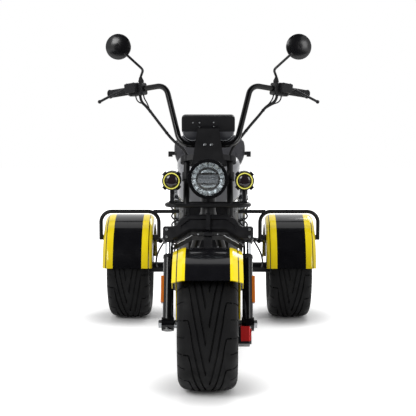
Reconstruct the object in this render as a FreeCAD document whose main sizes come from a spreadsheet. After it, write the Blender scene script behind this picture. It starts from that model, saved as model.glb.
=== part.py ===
import FreeCAD, Part
import math
import os
from types import SimpleNamespace

import Sketcher

# An electric three-wheeled fat-tyre scooter with ape-hanger bars: one steered wheel in
# front and two driven wheels behind. Millimetres, +Z up, the front faces -Y, the origin is
# on the ground in the middle of the vehicle, and +X is the rider's own left.

driving_dimensions = {
    # Whole vehicle
    "overall_length": 1900,
    "wheelbase": 1358,
    "rear_track": 758,
    "rake_angle": 25,
    "stem_offset": 50,
    "seat_gap": 0.2,
    "overrun": 60,
    # Wheels: 215/40-12 tyres on cast rims
    "tyre_radius": 238.5,
    "front_tyre_width": 212,
    "rear_tyre_width": 198,
    "tyre_bead_radius": 152.4,
    "tyre_bead_spread": 156,
    "tyre_crown_drop": 9,
    "tyre_shoulder_radius": 38,
    "tyre_sidewall_rise": 18,
    "rim_flange": 11,
    "rim_flange_thickness": 5,
    "rim_barrel_wall": 9,
    "rim_web_thickness": 18,
    "rim_window_inner": 56,
    "rim_window_outer": 132,
    "rim_window_spread": 34,
    "rim_spoke_count": 6,
    "hub_radius": 36,
    "rear_hub_length": 120,
    "front_hub_length": 216,
    "brake_disc_radius": 98,
    "brake_disc_thickness": 4,
    "running_clearance": 0.3,
    "front_axle_radius": 10,
    "front_axle_length": 356,
    "axle_nut_radius": 15,
    "axle_nut_thickness": 11,
    "spacer_radius": 15,
    "rear_spindle_radius": 14,
    # Fork
    "fork_spread": 288,
    "slider_radius": 19.5,
    "slider_top": 254,
    "slider_foot": 24,
    "lug_radius": 25,
    "lug_half_width": 22,
    "stanchion_radius": 15,
    "reflector_length": 101,
    "reflector_start": 78,
    "reflector_width": 22,
    "reflector_thickness": 8,
    # Crown, given along the fork from the axle
    "crown_bottom": 310,
    "crown_clamp_top": 364,
    "crown_shoulder_top": 396,
    "crown_top": 410,
    "crown_arch": 346,
    "crown_half_width": 167,
    "crown_clamp_inner": 124,
    "crown_step": 101,
    "crown_flat": 68,
    "crown_depth": 56,
    "crown_rib_width": 16,
    "crown_rib_proud": 10,
    "crown_panel_depth": 7,
    "crown_boss_radius": 33,
    "crown_bevel": 6,
    # Stem, head tube and upper clamp
    "stem_radius": 17,
    "head_tube_radius": 28,
    "head_tube_length": 208,
    "cradle_joint_share": 0.22,
    "backbone_joint_share": 0.78,
    "head_tube_gap": 3,
    "upper_tube_spread": 164,
    "upper_tube_radius": 12,
    "upper_clamp_thickness": 22,
    "upper_clamp_round": 24,
    "riser_width": 84,
    "riser_depth": 34,
    "riser_top_wall": 9,
    # Front fender and its carrier
    "front_fender_radius": 275,
    "front_fender_width": 247,
    "front_fender_flat": 176,
    "front_fender_drop": 15,
    "front_fender_skirt": 34,
    "fender_wall": 3.5,
    "front_fender_lead": 46,
    "front_fender_tail": 98,
    "yoke_top_width": 122,
    "yoke_foot_width": 250,
    "yoke_rise": 30,
    "yoke_slope": 38,
    "yoke_wall": 4,
    "yoke_depth": 52,
    "yoke_foot_height": 262,
    "fender_post_width": 30,
    "fender_pad_width": 96,
    "fender_pad_depth": 44,
    # Brake caliper on the left leg
    "caliper_width": 54,
    "caliper_height": 64,
    "caliper_bolt_share": 0.28,
    "caliper_length": 50,
    "caliper_start": 28,
    "caliper_slot": 7,
    "caliper_round": 7,
    "piston_radius": 14,
    "piston_proud": 5,
    # Headlamp
    "headlamp_height": 97,
    "headlamp_face": 113.5,
    "headlamp_radius": 73,
    "headlamp_depth": 98,
    "headlamp_waist_share": 0.42,
    "headlamp_bezel": 10,
    "headlamp_back_radius": 44,
    "headlamp_recess": 14,
    "lens_ring_outer": 62.5,
    "lens_ring_inner": 41,
    "lens_disc_radius": 37.5,
    "lens_thickness": 12,
    "lens_groove_width": 3,
    "lens_groove_depth": 5,
    "lens_segment_count": 16,
    "lens_bar_half_height": 13,
    # Spot lamps and the lamp frame
    "spot_spread": 270,
    "spot_height": 88,
    "spot_face": 145.5,
    "spot_radius": 35,
    "spot_depth": 66,
    "spot_ring_radius": 28.5,
    "spot_ring_wire": 3.2,
    "spot_lens_radius": 25,
    "spot_post_radius": 8,
    "hoop_height": 417.5,
    "hoop_half_width": 160,
    "hoop_depth": 84,
    "hoop_bend_share": 0.44,
    "hoop_tube_radius": 7.5,
    # Lamp bracket and dash
    "bracket_bottom": -72,
    "bracket_top": 60,
    "bracket_bottom_width": 122,
    "bracket_top_width": 80,
    "bracket_wall": 5,
    "bracket_stand_off": 12,
    "bracket_ear": 30,
    "dash_half_width": 101,
    "dash_bottom": 42,
    "dash_top": 112,
    "dash_thickness": 20,
    "dash_corner": 15,
    "dash_tilt": 16,
    "dash_cup_radius": 47,
    "dash_cup_spread": 102,
    "dash_cup_depth": 30,
    "dash_cup_rise": 7,
    "dash_plane": 285.5,
    # Handlebar
    "bar_radius": 11,
    "bar_height": 633.5,
    "bar_plane": 271.5,
    "bar_lower_x": 106,
    "bar_upper_x": 165,
    "bar_upper_y": 381.5,
    "bar_upper_height": 227,
    "bar_end_x": 394,
    "bar_end_y": 501.5,
    "bar_end_height": -35,
    "bar_lower_bend": 52,
    "bar_upper_bend": 52,
    "grip_radius": 16,
    "grip_length": 92,
    "grip_cap": 4,
    "block_length": 64,
    "block_radius": 24,
    "lever_root_share": 1.5,
    "block_gap": 8,
    "block_round": 7,
    "lever_radius": 5,
    "lever_ball_radius": 7.5,
    "lever_end_x": 430,
    "lever_end_height": -30,
    "lever_end_y": 459.5,
    "lever_bow": 10,
    "lever_bend": 220,
    "mirror_x": 350,
    "mirror_height": 183,
    "mirror_y": 417.5,
    "mirror_radius": 50,
    "mirror_thickness": 17,
    "mirror_glass_radius": 46,
    "mirror_stem_share": 0.72,
    "mirror_rim_share": 0.35,
    "mirror_dome_share": 0.6,
    "mirror_dome_depth_share": 0.82,
    "mirror_glass_thickness": 2,
    "mirror_stem_radius": 5,
    "mirror_boss_radius": 10,
    "mirror_boss_share": 1.2,
    "mirror_toe": 8,
    "mirror_knee_x": 254,
    "mirror_knee_height": 94,
    "mirror_bend": 14,
    "mirror_boss_height": 32,
    "cable_radius": 5.5,
    "cord_bend_share": 0.45,
    # Main frame
    "frame_tube_radius": 17,
    "backbone_radius": 24,
    "cross_tube_radius": 12,
    "cradle_end": 1211.5,
    "cradle_front_bend": 60,
    "cradle_rear_bend": 70,
    "seat_rail_flare": 90,
    "pivot_set_back": 30,
    "pivot_height": -2.5,
    "deck_rail_spread": 220,
    "deck_rail_height": 23.5,
    "deck_front": 389.5,
    "deck_rear": 1029.5,
    "seat_rail_spread": 196,
    "seat_rail_height": 348,
    "seat_rail_rear": 1411.5,
    # Deck and battery case
    "deck_half_width": 165,
    "deck_thickness": 14,
    "deck_corner": 60,
    "deck_set_back": 46,
    "deck_rib_count": 9,
    "deck_groove": 12,
    "deck_groove_share": 0.8,
    "groove_start_share": 1.2,
    "deck_groove_depth": 4,
    "battery_width": 180,
    "battery_height": 112,
    "battery_length": 440,
    # Cowl and tank cover
    "cowl_front": 393.5,
    "cowl_rear": 777.5,
    "cowl_half_width": 112,
    "cowl_bottom": 110,
    "cowl_top": 24,
    "cowl_corner": 30,
    "tank_half_width": 124,
    "tank_bottom": 26,
    "tank_top": 184,
    "tank_front": 377.5,
    "tank_rear": 771.5,
    "tank_corner": 36,
    "tank_groove": 8,
    "tank_groove_depth": 5,
    "tank_groove_count": 3,
    "tank_groove_low_share": 0.3,
    "tank_groove_step_share": 0.16,
    "tank_groove_reach_share": 0.62,
    # Seat and backrest
    "seat_half_width": 148,
    "seat_front": 785.5,
    "seat_rear": 1277.5,
    "seat_top": 132,
    "seat_pan_wall": 12,
    "backrest_half_width": 176,
    "backrest_bottom": 90,
    "backrest_top": 190,
    "backrest_thickness": 92,
    "backrest_front": 1293.5,
    "backrest_lean": 8,
    "backrest_set_back": 26,
    "carrier_radius": 9,
    "carrier_plate_half_width": 75,
    "carrier_plate_height": 88,
    "carrier_plate_thickness": 10,
    "rack_bolt_radius": 4.2,
    "rack_bolt_spread": 104,
    "rack_bolt_rise": 33,
    "knob_radius": 13,
    "knob_reach": 196,
    "knob_height": 85,
    # Rear axle, arms and shocks
    "axle_beam_radius": 24,
    "motor_case_radius": 74,
    "motor_case_length": 150,
    "arm_spread": 236,
    "arm_radius": 18,
    "shock_spread": 300,
    "shock_pin_radius": 12,
    "eye_wall": 9,
    "eye_width": 28,
    "spindle_overhang": 14,
    "shock_top_y": 1251.5,
    "shock_rod_radius": 8,
    "shock_body_radius": 19,
    "spring_radius": 29,
    "spring_wire": 4.5,
    "damper_body_share": 0.42,
    "spring_turns": 7,
    # Rear fenders and guard rails
    "rear_fender_radius": 256,
    "rear_fender_width": 232,
    "rear_fender_skirt": 46,
    "rear_fender_round": 30,
    "rear_fender_lead": 83,
    "rear_fender_tail": 86,
    "rail_height": 285.5,
    "rail_plane": 1201.5,
    "rail_tube_radius": 9,
    "rail_tab_share": 0.8,
    "rail_brace_share": 0.9,
    "rail_bridge_radius": 8.5,
    "rail_outer_x": 506,
    "rail_inner_x": 236,
    "rail_bend": 50,
    "rail_foot": -132,
    "rail_tab_height": 23,
    # Rear bar and lamps
    "rear_bar_height": 101.5,
    "rear_bar_half_width": 246,
    "rear_bar_foot": 1551.5,
    "rear_bar_bend": 40,
    "rear_bar_radius": 11,
    "tail_strut_share": 0.9,
    "tail_lamp_radius": 34,
    "tail_lamp_depth": 30,
    "tail_lamp_rim_share": 0.7,
    "tail_lamp_face_share": 0.8,
    "tail_lamp_spread": 300,
    # Brake hoses on the rear arms
    "hose_radius": 4,
}

doc = FreeCAD.newDocument("trike")
sheet = doc.addObject("Spreadsheet::Sheet", "sizes")
for row, (alias, number) in enumerate(driving_dimensions.items(), 1):
    sheet.set("A%d" % row, alias)
    sheet.set("B%d" % row, str(number))
    sheet.setAlias("B%d" % row, alias)
doc.recompute()
s = SimpleNamespace(**{alias: float(sheet.get(alias)) for alias in driving_dimensions})

front_axle_y = s.tyre_radius - s.overall_length / 2

# Places along the vehicle are sized from the front axle
from_front_axle = (
    "headlamp_face",
    "spot_face",
    "dash_plane",
    "bar_plane",
    "bar_upper_y",
    "bar_end_y",
    "lever_end_y",
    "mirror_y",
    "deck_front",
    "deck_rear",
    "cradle_end",
    "seat_rail_rear",
    "cowl_front",
    "cowl_rear",
    "tank_front",
    "tank_rear",
    "seat_front",
    "seat_rear",
    "backrest_front",
    "shock_top_y",
    "rail_plane",
    "rear_bar_foot",
)
for place in from_front_axle:
    setattr(s, place, getattr(s, place) + front_axle_y)

# Each of these heights is sized from the one that carries it
carried_by = {
    "hoop_height": "tyre_radius",
    "headlamp_height": "hoop_height",
    "spot_height": "hoop_height",
    "bar_height": "tyre_radius",
    "bracket_bottom": "bar_height",
    "bracket_top": "bar_height",
    "dash_bottom": "bar_height",
    "dash_top": "bar_height",
    "bar_upper_height": "bar_height",
    "bar_end_height": "bar_upper_height",
    "lever_end_height": "bar_end_height",
    "mirror_height": "bar_end_height",
    "mirror_knee_height": "bar_end_height",
    "deck_rail_height": "tyre_radius",
    "pivot_height": "tyre_radius",
    "seat_rail_height": "deck_rail_height",
    "cowl_bottom": "deck_rail_height",
    "cowl_top": "seat_rail_height",
    "tank_bottom": "seat_rail_height",
    "tank_top": "tank_bottom",
    "seat_top": "seat_rail_height",
    "backrest_bottom": "seat_rail_height",
    "backrest_top": "backrest_bottom",
    "knob_height": "backrest_bottom",
    "rail_height": "tyre_radius",
    "rail_foot": "rail_height",
    "rear_bar_height": "tyre_radius",
}
for height, carrier in carried_by.items():
    setattr(s, height, getattr(s, height) + getattr(s, carrier))

rear_axle_y = front_axle_y + s.wheelbase
rear_end = s.overall_length / 2
wheel_height = s.tyre_radius
leg_x = s.fork_spread / 2
wheel_x = s.rear_track / 2
sides = (-1, 1)
x_axis = FreeCAD.Vector(1, 0, 0)
y_axis = FreeCAD.Vector(0, 1, 0)
z_axis = FreeCAD.Vector(0, 0, 1)
nodes = []


def vec(x, y, z):
    return FreeCAD.Vector(x, y, z)


# The fork's own frame: its origin is the front axle's middle and its Z runs up the legs.
fork = FreeCAD.Placement(
    vec(0, front_axle_y, wheel_height), FreeCAD.Rotation(x_axis, -s.rake_angle)
)
fork_up = fork.Rotation.multVec(z_axis)


def on_fork(x, y, z):
    return fork.multVec(vec(x, y, z))


def off_fork(point):
    return fork.inverse().multVec(point)


# Shapes made from the sheet's values.


def rod(start, end, radius):
    run = end - start
    return Part.makeCylinder(radius, run.Length, start, run)


def box_between(low, high):
    span = high - low
    return Part.makeBox(span.x, span.y, span.z, low)


def bent_path(points, bends):
    """Straight runs through the points, joined by tangent arcs of the given radii."""
    edges = []
    last = points[0]
    for before, corner, after, bend in zip(points, points[1:], points[2:], bends):
        back = (before - corner).normalize()
        ahead = (after - corner).normalize()
        half = back.getAngle(ahead) / 2
        reach = bend / math.tan(half)
        enter = corner + back * reach
        leave = corner + ahead * reach
        middle = corner + (back + ahead).normalize() * (bend / math.sin(half) - bend)
        edges.append(Part.LineSegment(last, enter).toShape())
        edges.append(Part.Arc(enter, middle, leave).toShape())
        last = leave
    edges.append(Part.LineSegment(last, points[-1]).toShape())
    return Part.Wire(edges)


def tube(points, radius, bends=()):
    """A round bar along a bent path, its ends square to the path."""
    if len(points) == 2:
        return rod(points[0], points[1], radius)
    path = bent_path(points, bends)
    start = points[1] - points[0]
    section = Part.Wire([Part.Circle(points[0], start, radius).toShape()])
    swept = path.makePipeShell([section], True, False)
    expected = math.pi * radius**2 * path.Length
    if abs(swept.Volume / expected - 1) > 0.01:
        raise ValueError("a tube's volume differs from its section times its length")
    return swept


def mirrored(shape):
    return shape.mirror(vec(0, 0, 0), x_axis)


def both_sides(shape):
    return [shape, mirrored(shape)]


def fused(shapes):
    whole = shapes[0].multiFuse(list(shapes[1:])) if len(shapes) > 1 else shapes[0]
    return whole.removeSplitter()


def sharp_polygon(points):
    return Part.Face(Part.makePolygon(list(points) + [points[0]]))


def slab(points, depth):
    """A flat polygon given depth along a vector."""
    return sharp_polygon(points).extrude(depth)


def feature(label, shape):
    """A sub-part whose shape comes from the sheet's values through Part's functions."""
    piece = doc.addObject("Part::Feature", label)
    piece.Label = label
    piece.Shape = shape
    nodes.append(piece)
    return piece


def group(label, solids):
    return feature(label, Part.makeCompound(solids))


def primitive(kind, name, placement, bindings):
    piece = doc.addObject(kind, name)
    for field, expression in bindings.items():
        piece.setExpression(field, expression)
    piece.Placement = placement
    return piece


# Sketched pieces: each corner of an outline is bound to the sheet.


def new_body(label):
    piece = doc.addObject("PartDesign::Body", label)
    piece.Label = label
    nodes.append(piece)
    return piece


def origin_plane(body, role):
    return [item for item in body.Origin.OriginFeatures if item.Role == role][0]


def sketch_outline(body, name, role, corners):
    """A closed outline on a plane of the body; each corner is a pair of expressions."""
    sketch = body.newObject("Sketcher::SketchObject", name)
    sketch.AttachmentSupport = [(origin_plane(body, role), "")]
    sketch.MapMode = "FlatFace"
    places = [[float(sheet.evalExpression(text)) for text in corner] for corner in corners]
    count = len(corners)
    for index in range(count):
        here, there = places[index], places[(index + 1) % count]
        sketch.addGeometry(Part.LineSegment(vec(*here, 0), vec(*there, 0)), False)
    for index in range(count):
        sketch.addConstraint(Sketcher.Constraint("Coincident", index, 2, (index + 1) % count, 1))
    for index, corner in enumerate(corners):
        for kind, text, place in zip(("DistanceX", "DistanceY"), corner, places[index]):
            row = sketch.addConstraint(Sketcher.Constraint(kind, -1, 1, index, 1, place))
            sketch.setExpression("Constraints[%d]" % row, text)
    return sketch


def revolve(body, sketch, name, angle):
    turned = body.newObject("PartDesign::Revolution", name)
    turned.Profile = sketch
    turned.ReferenceAxis = (sketch, ["H_Axis"])
    if isinstance(angle, str):
        turned.setExpression("Angle", angle)
    else:
        turned.Angle = angle
    doc.recompute()
    return turned


def edges_where(shape, test):
    return ["Edge%d" % (row + 1) for row, edge in enumerate(shape.Edges) if test(edge)]


def round_edges(body, base, name, test, radius):
    fillet = body.newObject("PartDesign::Fillet", name)
    fillet.Base = (base, edges_where(base.Shape, test))
    fillet.setExpression("Radius", radius)
    doc.recompute()
    return fillet


def ring_edge(edge, radius, x, tolerance=0.01):
    """True for an arc of this radius about the X axis, at this X."""
    if not hasattr(edge.Curve, "Radius"):
        return False
    centre = edge.Curve.Center
    return (
        abs(edge.Curve.Radius - radius) < tolerance
        and abs(abs(centre.x) - abs(x)) < tolerance
    )


# Wheels


def tyre(label, place, width):
    """A tyre at a place; width names its width in the sheet."""
    body = new_body(label)
    half, bead = "sizes.%s / 2" % width, "sizes.tyre_bead_spread / 2"
    low = "sizes.tyre_bead_radius"
    step = "sizes.tyre_bead_radius + sizes.rim_flange"
    wall = "sizes.tyre_bead_radius + sizes.rim_flange + sizes.tyre_sidewall_rise"
    shoulder = "sizes.tyre_radius - sizes.tyre_crown_drop"
    right = [(bead, low), (bead, step), (half, wall), (half, shoulder)]
    left = [("-(%s)" % across, up) for across, up in reversed(right)]
    outline = right + [("0", "sizes.tyre_radius")] + left
    sketch = sketch_outline(body, label + "_section", "XZ_Plane", outline)
    ring = revolve(body, sketch, label + "_ring", 360)
    crown = s.tyre_radius - s.tyre_crown_drop
    round_edges(
        body,
        ring,
        label + "_shoulders",
        lambda edge: ring_edge(edge, crown, getattr(s, width) / 2),
        "sizes.tyre_shoulder_radius",
    )
    body.Placement = FreeCAD.Placement(place, FreeCAD.Rotation())


def rim(label, place, hub_inner, hub_outer, web, bore, disc):
    """A cast rim with windows between its spokes; disc is the brake disc's middle along X."""
    body = new_body(label)
    bead = "sizes.tyre_bead_spread / 2"
    edge = "sizes.tyre_bead_spread / 2 + sizes.rim_flange_thickness"
    outer = "sizes.tyre_bead_radius"
    lip = "sizes.tyre_bead_radius + sizes.rim_flange - sizes.seat_gap"
    inner = "sizes.tyre_bead_radius - sizes.rim_barrel_wall"
    low, high = "%s - sizes.rim_web_thickness / 2" % web, "%s + sizes.rim_web_thickness / 2" % web
    hub = "sizes.hub_radius"
    plate = "sizes.brake_disc_radius"
    disc_low = "%s - sizes.brake_disc_thickness / 2" % disc
    disc_high = "%s + sizes.brake_disc_thickness / 2" % disc
    barrel = [(edge, inner), (edge, lip), (bead, lip), (bead, outer)]
    barrel += [("-(%s)" % across, up) for across, up in reversed(barrel)]
    inside = [(low, inner), (low, hub), (hub_inner, hub), (hub_inner, bore)]
    outside = [(hub_outer, bore), (hub_outer, hub), (high, hub), (high, inner)]
    if float(sheet.evalExpression(disc)) > 0:
        outside[2:2] = [(disc_high, hub), (disc_high, plate), (disc_low, plate), (disc_low, hub)]
    else:
        inside[2:2] = [(disc_high, hub), (disc_high, plate), (disc_low, plate), (disc_low, hub)]
    outline = barrel + inside + outside
    sketch = sketch_outline(body, label + "_section", "XZ_Plane", outline)
    ring = revolve(body, sketch, label + "_casting", 360)
    window = sketch_outline(
        body,
        label + "_window",
        "YZ_Plane",
        [
            ("-sizes.rim_window_spread / 3", "sizes.rim_window_inner"),
            ("sizes.rim_window_spread / 3", "sizes.rim_window_inner"),
            ("sizes.rim_window_spread", "sizes.rim_window_outer"),
            ("-sizes.rim_window_spread", "sizes.rim_window_outer"),
        ],
    )
    window.AttachmentOffset = FreeCAD.Placement(
        vec(0, 0, float(sheet.evalExpression(low))), FreeCAD.Rotation()
    )
    doc.recompute()
    pocket = body.newObject("PartDesign::Pocket", label + "_opening")
    pocket.Profile = window
    pocket.Reversed = True
    pocket.setExpression("Length", "sizes.rim_web_thickness")
    doc.recompute()
    if not pocket.Shape.Volume < ring.Shape.Volume:
        raise ValueError("the rim's window cuts nothing")
    pattern = body.newObject("PartDesign::PolarPattern", label + "_openings")
    pattern.Originals = [pocket]
    pattern.Axis = (sketch, ["H_Axis"])
    pattern.Angle = 360
    pattern.setExpression("Occurrences", "sizes.rim_spoke_count")
    body.Tip = pattern
    doc.recompute()
    body.Placement = FreeCAD.Placement(place, FreeCAD.Rotation())


front_centre = vec(0, front_axle_y, wheel_height)
front_bore = "sizes.front_axle_radius + sizes.running_clearance"
rear_bore = "sizes.rear_spindle_radius + sizes.running_clearance"
front_disc = "sizes.front_hub_length / 2 - sizes.brake_disc_thickness / 2"
tyre("front_tyre", front_centre, "front_tyre_width")
rim(
    "front_rim",
    front_centre,
    "-sizes.front_hub_length / 2",
    "sizes.front_hub_length / 2 + sizes.seat_gap",
    "0",
    front_bore,
    front_disc,
)
for side, hand in ((1, "left"), (-1, "right")):
    centre = vec(side * wheel_x, rear_axle_y, wheel_height)
    tyre("rear_tyre_" + hand, centre, "rear_tyre_width")
    web = "%d * (sizes.tyre_bead_spread / 4)" % side
    far, near = "sizes.rear_hub_length / 2", "-sizes.rear_hub_length / 2"
    disc = "%d * (sizes.rear_hub_length / 2 - sizes.brake_disc_thickness)" % -side
    rim("rear_rim_" + hand, centre, near, far, web, rear_bore, disc)

# Front axle: a through bolt with spacers that hold the wheel between the legs
axle_half = s.front_axle_length / 2
axle_parts = [rod(on_fork(-axle_half, 0, 0), on_fork(axle_half, 0, 0), s.front_axle_radius)]
for side in sides:
    hub_end = s.front_hub_length / 2 + s.head_tube_gap / 2
    leg_face = leg_x - s.lug_half_width - s.seat_gap
    axle_parts.append(
        rod(on_fork(side * hub_end, 0, 0), on_fork(side * leg_face, 0, 0), s.spacer_radius)
    )
    nut_start = leg_x + s.lug_half_width + s.seat_gap
    nut_end = nut_start + s.axle_nut_thickness
    nut_ring = [
        on_fork(
            side * nut_start,
            s.axle_nut_radius * math.cos(math.radians(step * 60)),
            s.axle_nut_radius * math.sin(math.radians(step * 60)),
        )
        for step in range(6)
    ]
    axle_parts.append(slab(nut_ring, x_axis * (side * (nut_end - nut_start))))
feature("front_axle", fused(axle_parts))

# Fork legs
sliders, stanchions, reflectors = [], [], []
for side in sides:
    x = side * leg_x
    leg = rod(on_fork(x, 0, -s.slider_foot), on_fork(x, 0, s.slider_top), s.slider_radius)
    lug = rod(
        on_fork(x - s.lug_half_width, 0, 0), on_fork(x + s.lug_half_width, 0, 0), s.lug_radius
    )
    bore = rod(
        on_fork(x - s.overrun, 0, 0), on_fork(x + s.overrun, 0, 0), s.front_axle_radius + s.seat_gap
    )
    whole = fused([leg, lug]).cut(bore)
    if side == 1:
        ear = box_between(
            vec(x - s.slider_radius / 2, -s.caliper_start - s.caliper_length, -s.lug_radius),
            vec(x + s.slider_radius / 2, -s.lug_radius / 2, 0),
        )
        ear.Placement = fork.multiply(ear.Placement)
        whole = fused([whole, ear])
    sliders.append(whole)
    stanchions.append(
        rod(on_fork(x, 0, s.slider_top), on_fork(x, 0, s.crown_clamp_top), s.stanchion_radius)
    )
    outside = leg_x + s.slider_radius
    strip = box_between(
        vec(outside - s.reflector_thickness, -s.reflector_width / 2, s.reflector_start),
        vec(
            outside + s.reflector_thickness,
            s.reflector_width / 2,
            s.reflector_start + s.reflector_length,
        ),
    )
    strip = strip.makeFillet(s.reflector_thickness / 3, strip.Edges)
    strip.Placement = fork.multiply(strip.Placement)
    if side == -1:
        strip = mirrored(strip)
    round_leg = rod(
        on_fork(x, 0, 0), on_fork(x, 0, s.slider_top), s.slider_radius + s.seat_gap
    )
    reflectors.append(strip.cut(round_leg))
group("fork_sliders", sliders)
group("fork_stanchions", stanchions)
group("fork_reflectors", reflectors)

# Fork crown: a faceted plate with clamps round the legs, a rib in front and a boss behind
half_depth = s.crown_depth / 2
crown_right = [
    (0, s.crown_top),
    (s.crown_flat, s.crown_top),
    (s.crown_step, s.crown_shoulder_top),
    (s.crown_clamp_inner, s.crown_clamp_top),
    (s.crown_half_width, s.crown_clamp_top),
    (s.crown_half_width, s.crown_bottom),
    (s.crown_clamp_inner, s.crown_bottom),
    (s.crown_flat, s.crown_arch),
]
crown_left = [(-across, up) for across, up in reversed(crown_right[1:])]
crown = slab(
    [vec(across, -half_depth, up) for across, up in crown_right + crown_left],
    y_axis * s.crown_depth,
)


def along_x(edge):
    """True for an edge that lies on the crown's front or rear face."""
    ends = [vertex.Point for vertex in edge.Vertexes]
    return all(abs(abs(end.y) - half_depth) < 0.01 for end in ends)


crown = crown.makeChamfer(s.crown_bevel, [edge for edge in crown.Edges if along_x(edge)])
panel_low, panel_high = s.crown_arch + s.crown_bevel * 2, s.crown_shoulder_top - s.crown_bevel
for side in sides:
    rib_side = side * s.crown_rib_width / 2
    recess = slab(
        [
            vec(rib_side, -half_depth, panel_low),
            vec(side * s.crown_flat, -half_depth, panel_low),
            vec(side * s.crown_step, -half_depth, panel_low - s.crown_bevel),
            vec(side * s.crown_step, -half_depth, s.crown_clamp_top),
            vec(side * s.crown_flat, -half_depth, panel_high),
            vec(rib_side, -half_depth, panel_high),
        ],
        y_axis * s.crown_panel_depth,
    )
    crown = crown.cut(recess)
rib = box_between(
    vec(-s.crown_rib_width / 2, -half_depth - s.crown_rib_proud, s.crown_arch),
    vec(s.crown_rib_width / 2, half_depth, s.crown_top),
)
boss = Part.makeCylinder(
    s.crown_boss_radius, s.crown_top - s.crown_arch, vec(0, s.stem_offset, s.crown_arch)
)
web = box_between(
    vec(-s.crown_boss_radius, 0, s.crown_arch), vec(s.crown_boss_radius, s.stem_offset, s.crown_top)
)
crown = fused([crown, rib, boss, web])
for side in sides:
    crown = crown.cut(
        Part.makeCylinder(
            s.stanchion_radius + s.seat_gap,
            s.crown_clamp_top - s.crown_bottom + 2 * s.overrun,
            vec(side * leg_x, 0, s.crown_bottom - s.overrun),
        )
    )
crown.Placement = fork
feature("fork_crown", crown)

# Stem, upper clamp and bar risers
head_low = s.crown_top + s.head_tube_gap
head_high = head_low + s.head_tube_length
clamp_low = head_high + s.head_tube_gap
clamp_high = clamp_low + s.upper_clamp_thickness
bar_centre = off_fork(vec(0, s.bar_plane, s.bar_height))
tube_x = s.upper_tube_spread / 2
stem = Part.makeCylinder(s.stem_radius, clamp_low - s.crown_top, vec(0, s.stem_offset, s.crown_top))
clamp_plan = [
    vec(-tube_x, -s.upper_clamp_round, clamp_low),
    vec(-s.riser_width / 2, bar_centre.y - s.riser_depth / 2, clamp_low),
    vec(s.riser_width / 2, bar_centre.y - s.riser_depth / 2, clamp_low),
    vec(tube_x, -s.upper_clamp_round, clamp_low),
    vec(tube_x, s.upper_clamp_round, clamp_low),
    vec(s.upper_clamp_round, s.stem_offset + s.upper_clamp_round, clamp_low),
    vec(-s.upper_clamp_round, s.stem_offset + s.upper_clamp_round, clamp_low),
    vec(-tube_x, s.upper_clamp_round, clamp_low),
]
clamp = slab(clamp_plan, z_axis * s.upper_clamp_thickness)
clamp_ends = [
    Part.makeCylinder(
        s.upper_clamp_round, s.upper_clamp_thickness, vec(side * tube_x, 0, clamp_low)
    )
    for side in sides
]
riser_top = bar_centre.z + s.bar_radius + s.riser_top_wall
riser = box_between(
    vec(-s.riser_width / 2, bar_centre.y - s.riser_depth / 2, clamp_low),
    vec(s.riser_width / 2, bar_centre.y + s.riser_depth / 2, riser_top),
)
stem = fused([stem, clamp, riser] + clamp_ends)
for side in sides:
    stem = stem.cut(
        Part.makeCylinder(
            s.upper_tube_radius + s.seat_gap,
            s.upper_clamp_thickness + 2 * s.overrun,
            vec(side * tube_x, 0, clamp_low - s.overrun),
        )
    )
stem = stem.cut(
    Part.makeCylinder(
        s.bar_radius + s.seat_gap,
        2 * s.riser_width,
        vec(-s.riser_width, bar_centre.y, bar_centre.z),
        x_axis,
    )
)
stem.Placement = fork
feature("steering_stem", stem)

# Lamp frame: the two upper tubes and the flattened hoop welded across them
hoop_along = (s.hoop_height - wheel_height) / math.cos(math.radians(s.rake_angle))
hoop_back = on_fork(0, 0, hoop_along).y
hoop_front = hoop_back - s.hoop_depth
hoop_end = s.hoop_half_width - s.hoop_tube_radius
hoop_bend = s.hoop_depth * s.hoop_bend_share
half_hoop = [
    vec(0, hoop_back, s.hoop_height),
    vec(hoop_end, hoop_back, s.hoop_height),
    vec(hoop_end, hoop_front, s.hoop_height),
    vec(0, hoop_front, s.hoop_height),
]
hoop = tube(half_hoop, s.hoop_tube_radius, [hoop_bend, hoop_bend])
upper_tubes = [
    rod(on_fork(side * tube_x, 0, s.crown_top), on_fork(side * tube_x, 0, clamp_high), s.upper_tube_radius)
    for side in sides
]
feature("lamp_frame", fused(both_sides(hoop) + upper_tubes))

# Front fender, swept about the axle


def fender(label, place, start_angle, corners, sweep, rounds):
    body = new_body(label)
    sketch = sketch_outline(body, label + "_section", "XZ_Plane", corners)
    shell = revolve(body, sketch, label + "_shell", sweep)
    for name, test, radius in rounds:
        shell = round_edges(body, shell, label + name, test, radius)
    body.Placement = FreeCAD.Placement(place, FreeCAD.Rotation(x_axis, start_angle))
    return body


def open_section(outer):
    """A closed section with an even wall from one half of its outer line."""
    inner = [
        (across + " - sizes.fender_wall", up + " - sizes.fender_wall") for across, up in outer[:-1]
    ]
    inner.append((outer[-1][0] + " - sizes.fender_wall", outer[-1][1]))
    far_outer, far_inner = [
        [("-(%s)" % across, up) for across, up in half] for half in (outer, inner)
    ]
    return list(reversed(far_outer)) + outer + list(reversed(inner)) + far_inner


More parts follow.
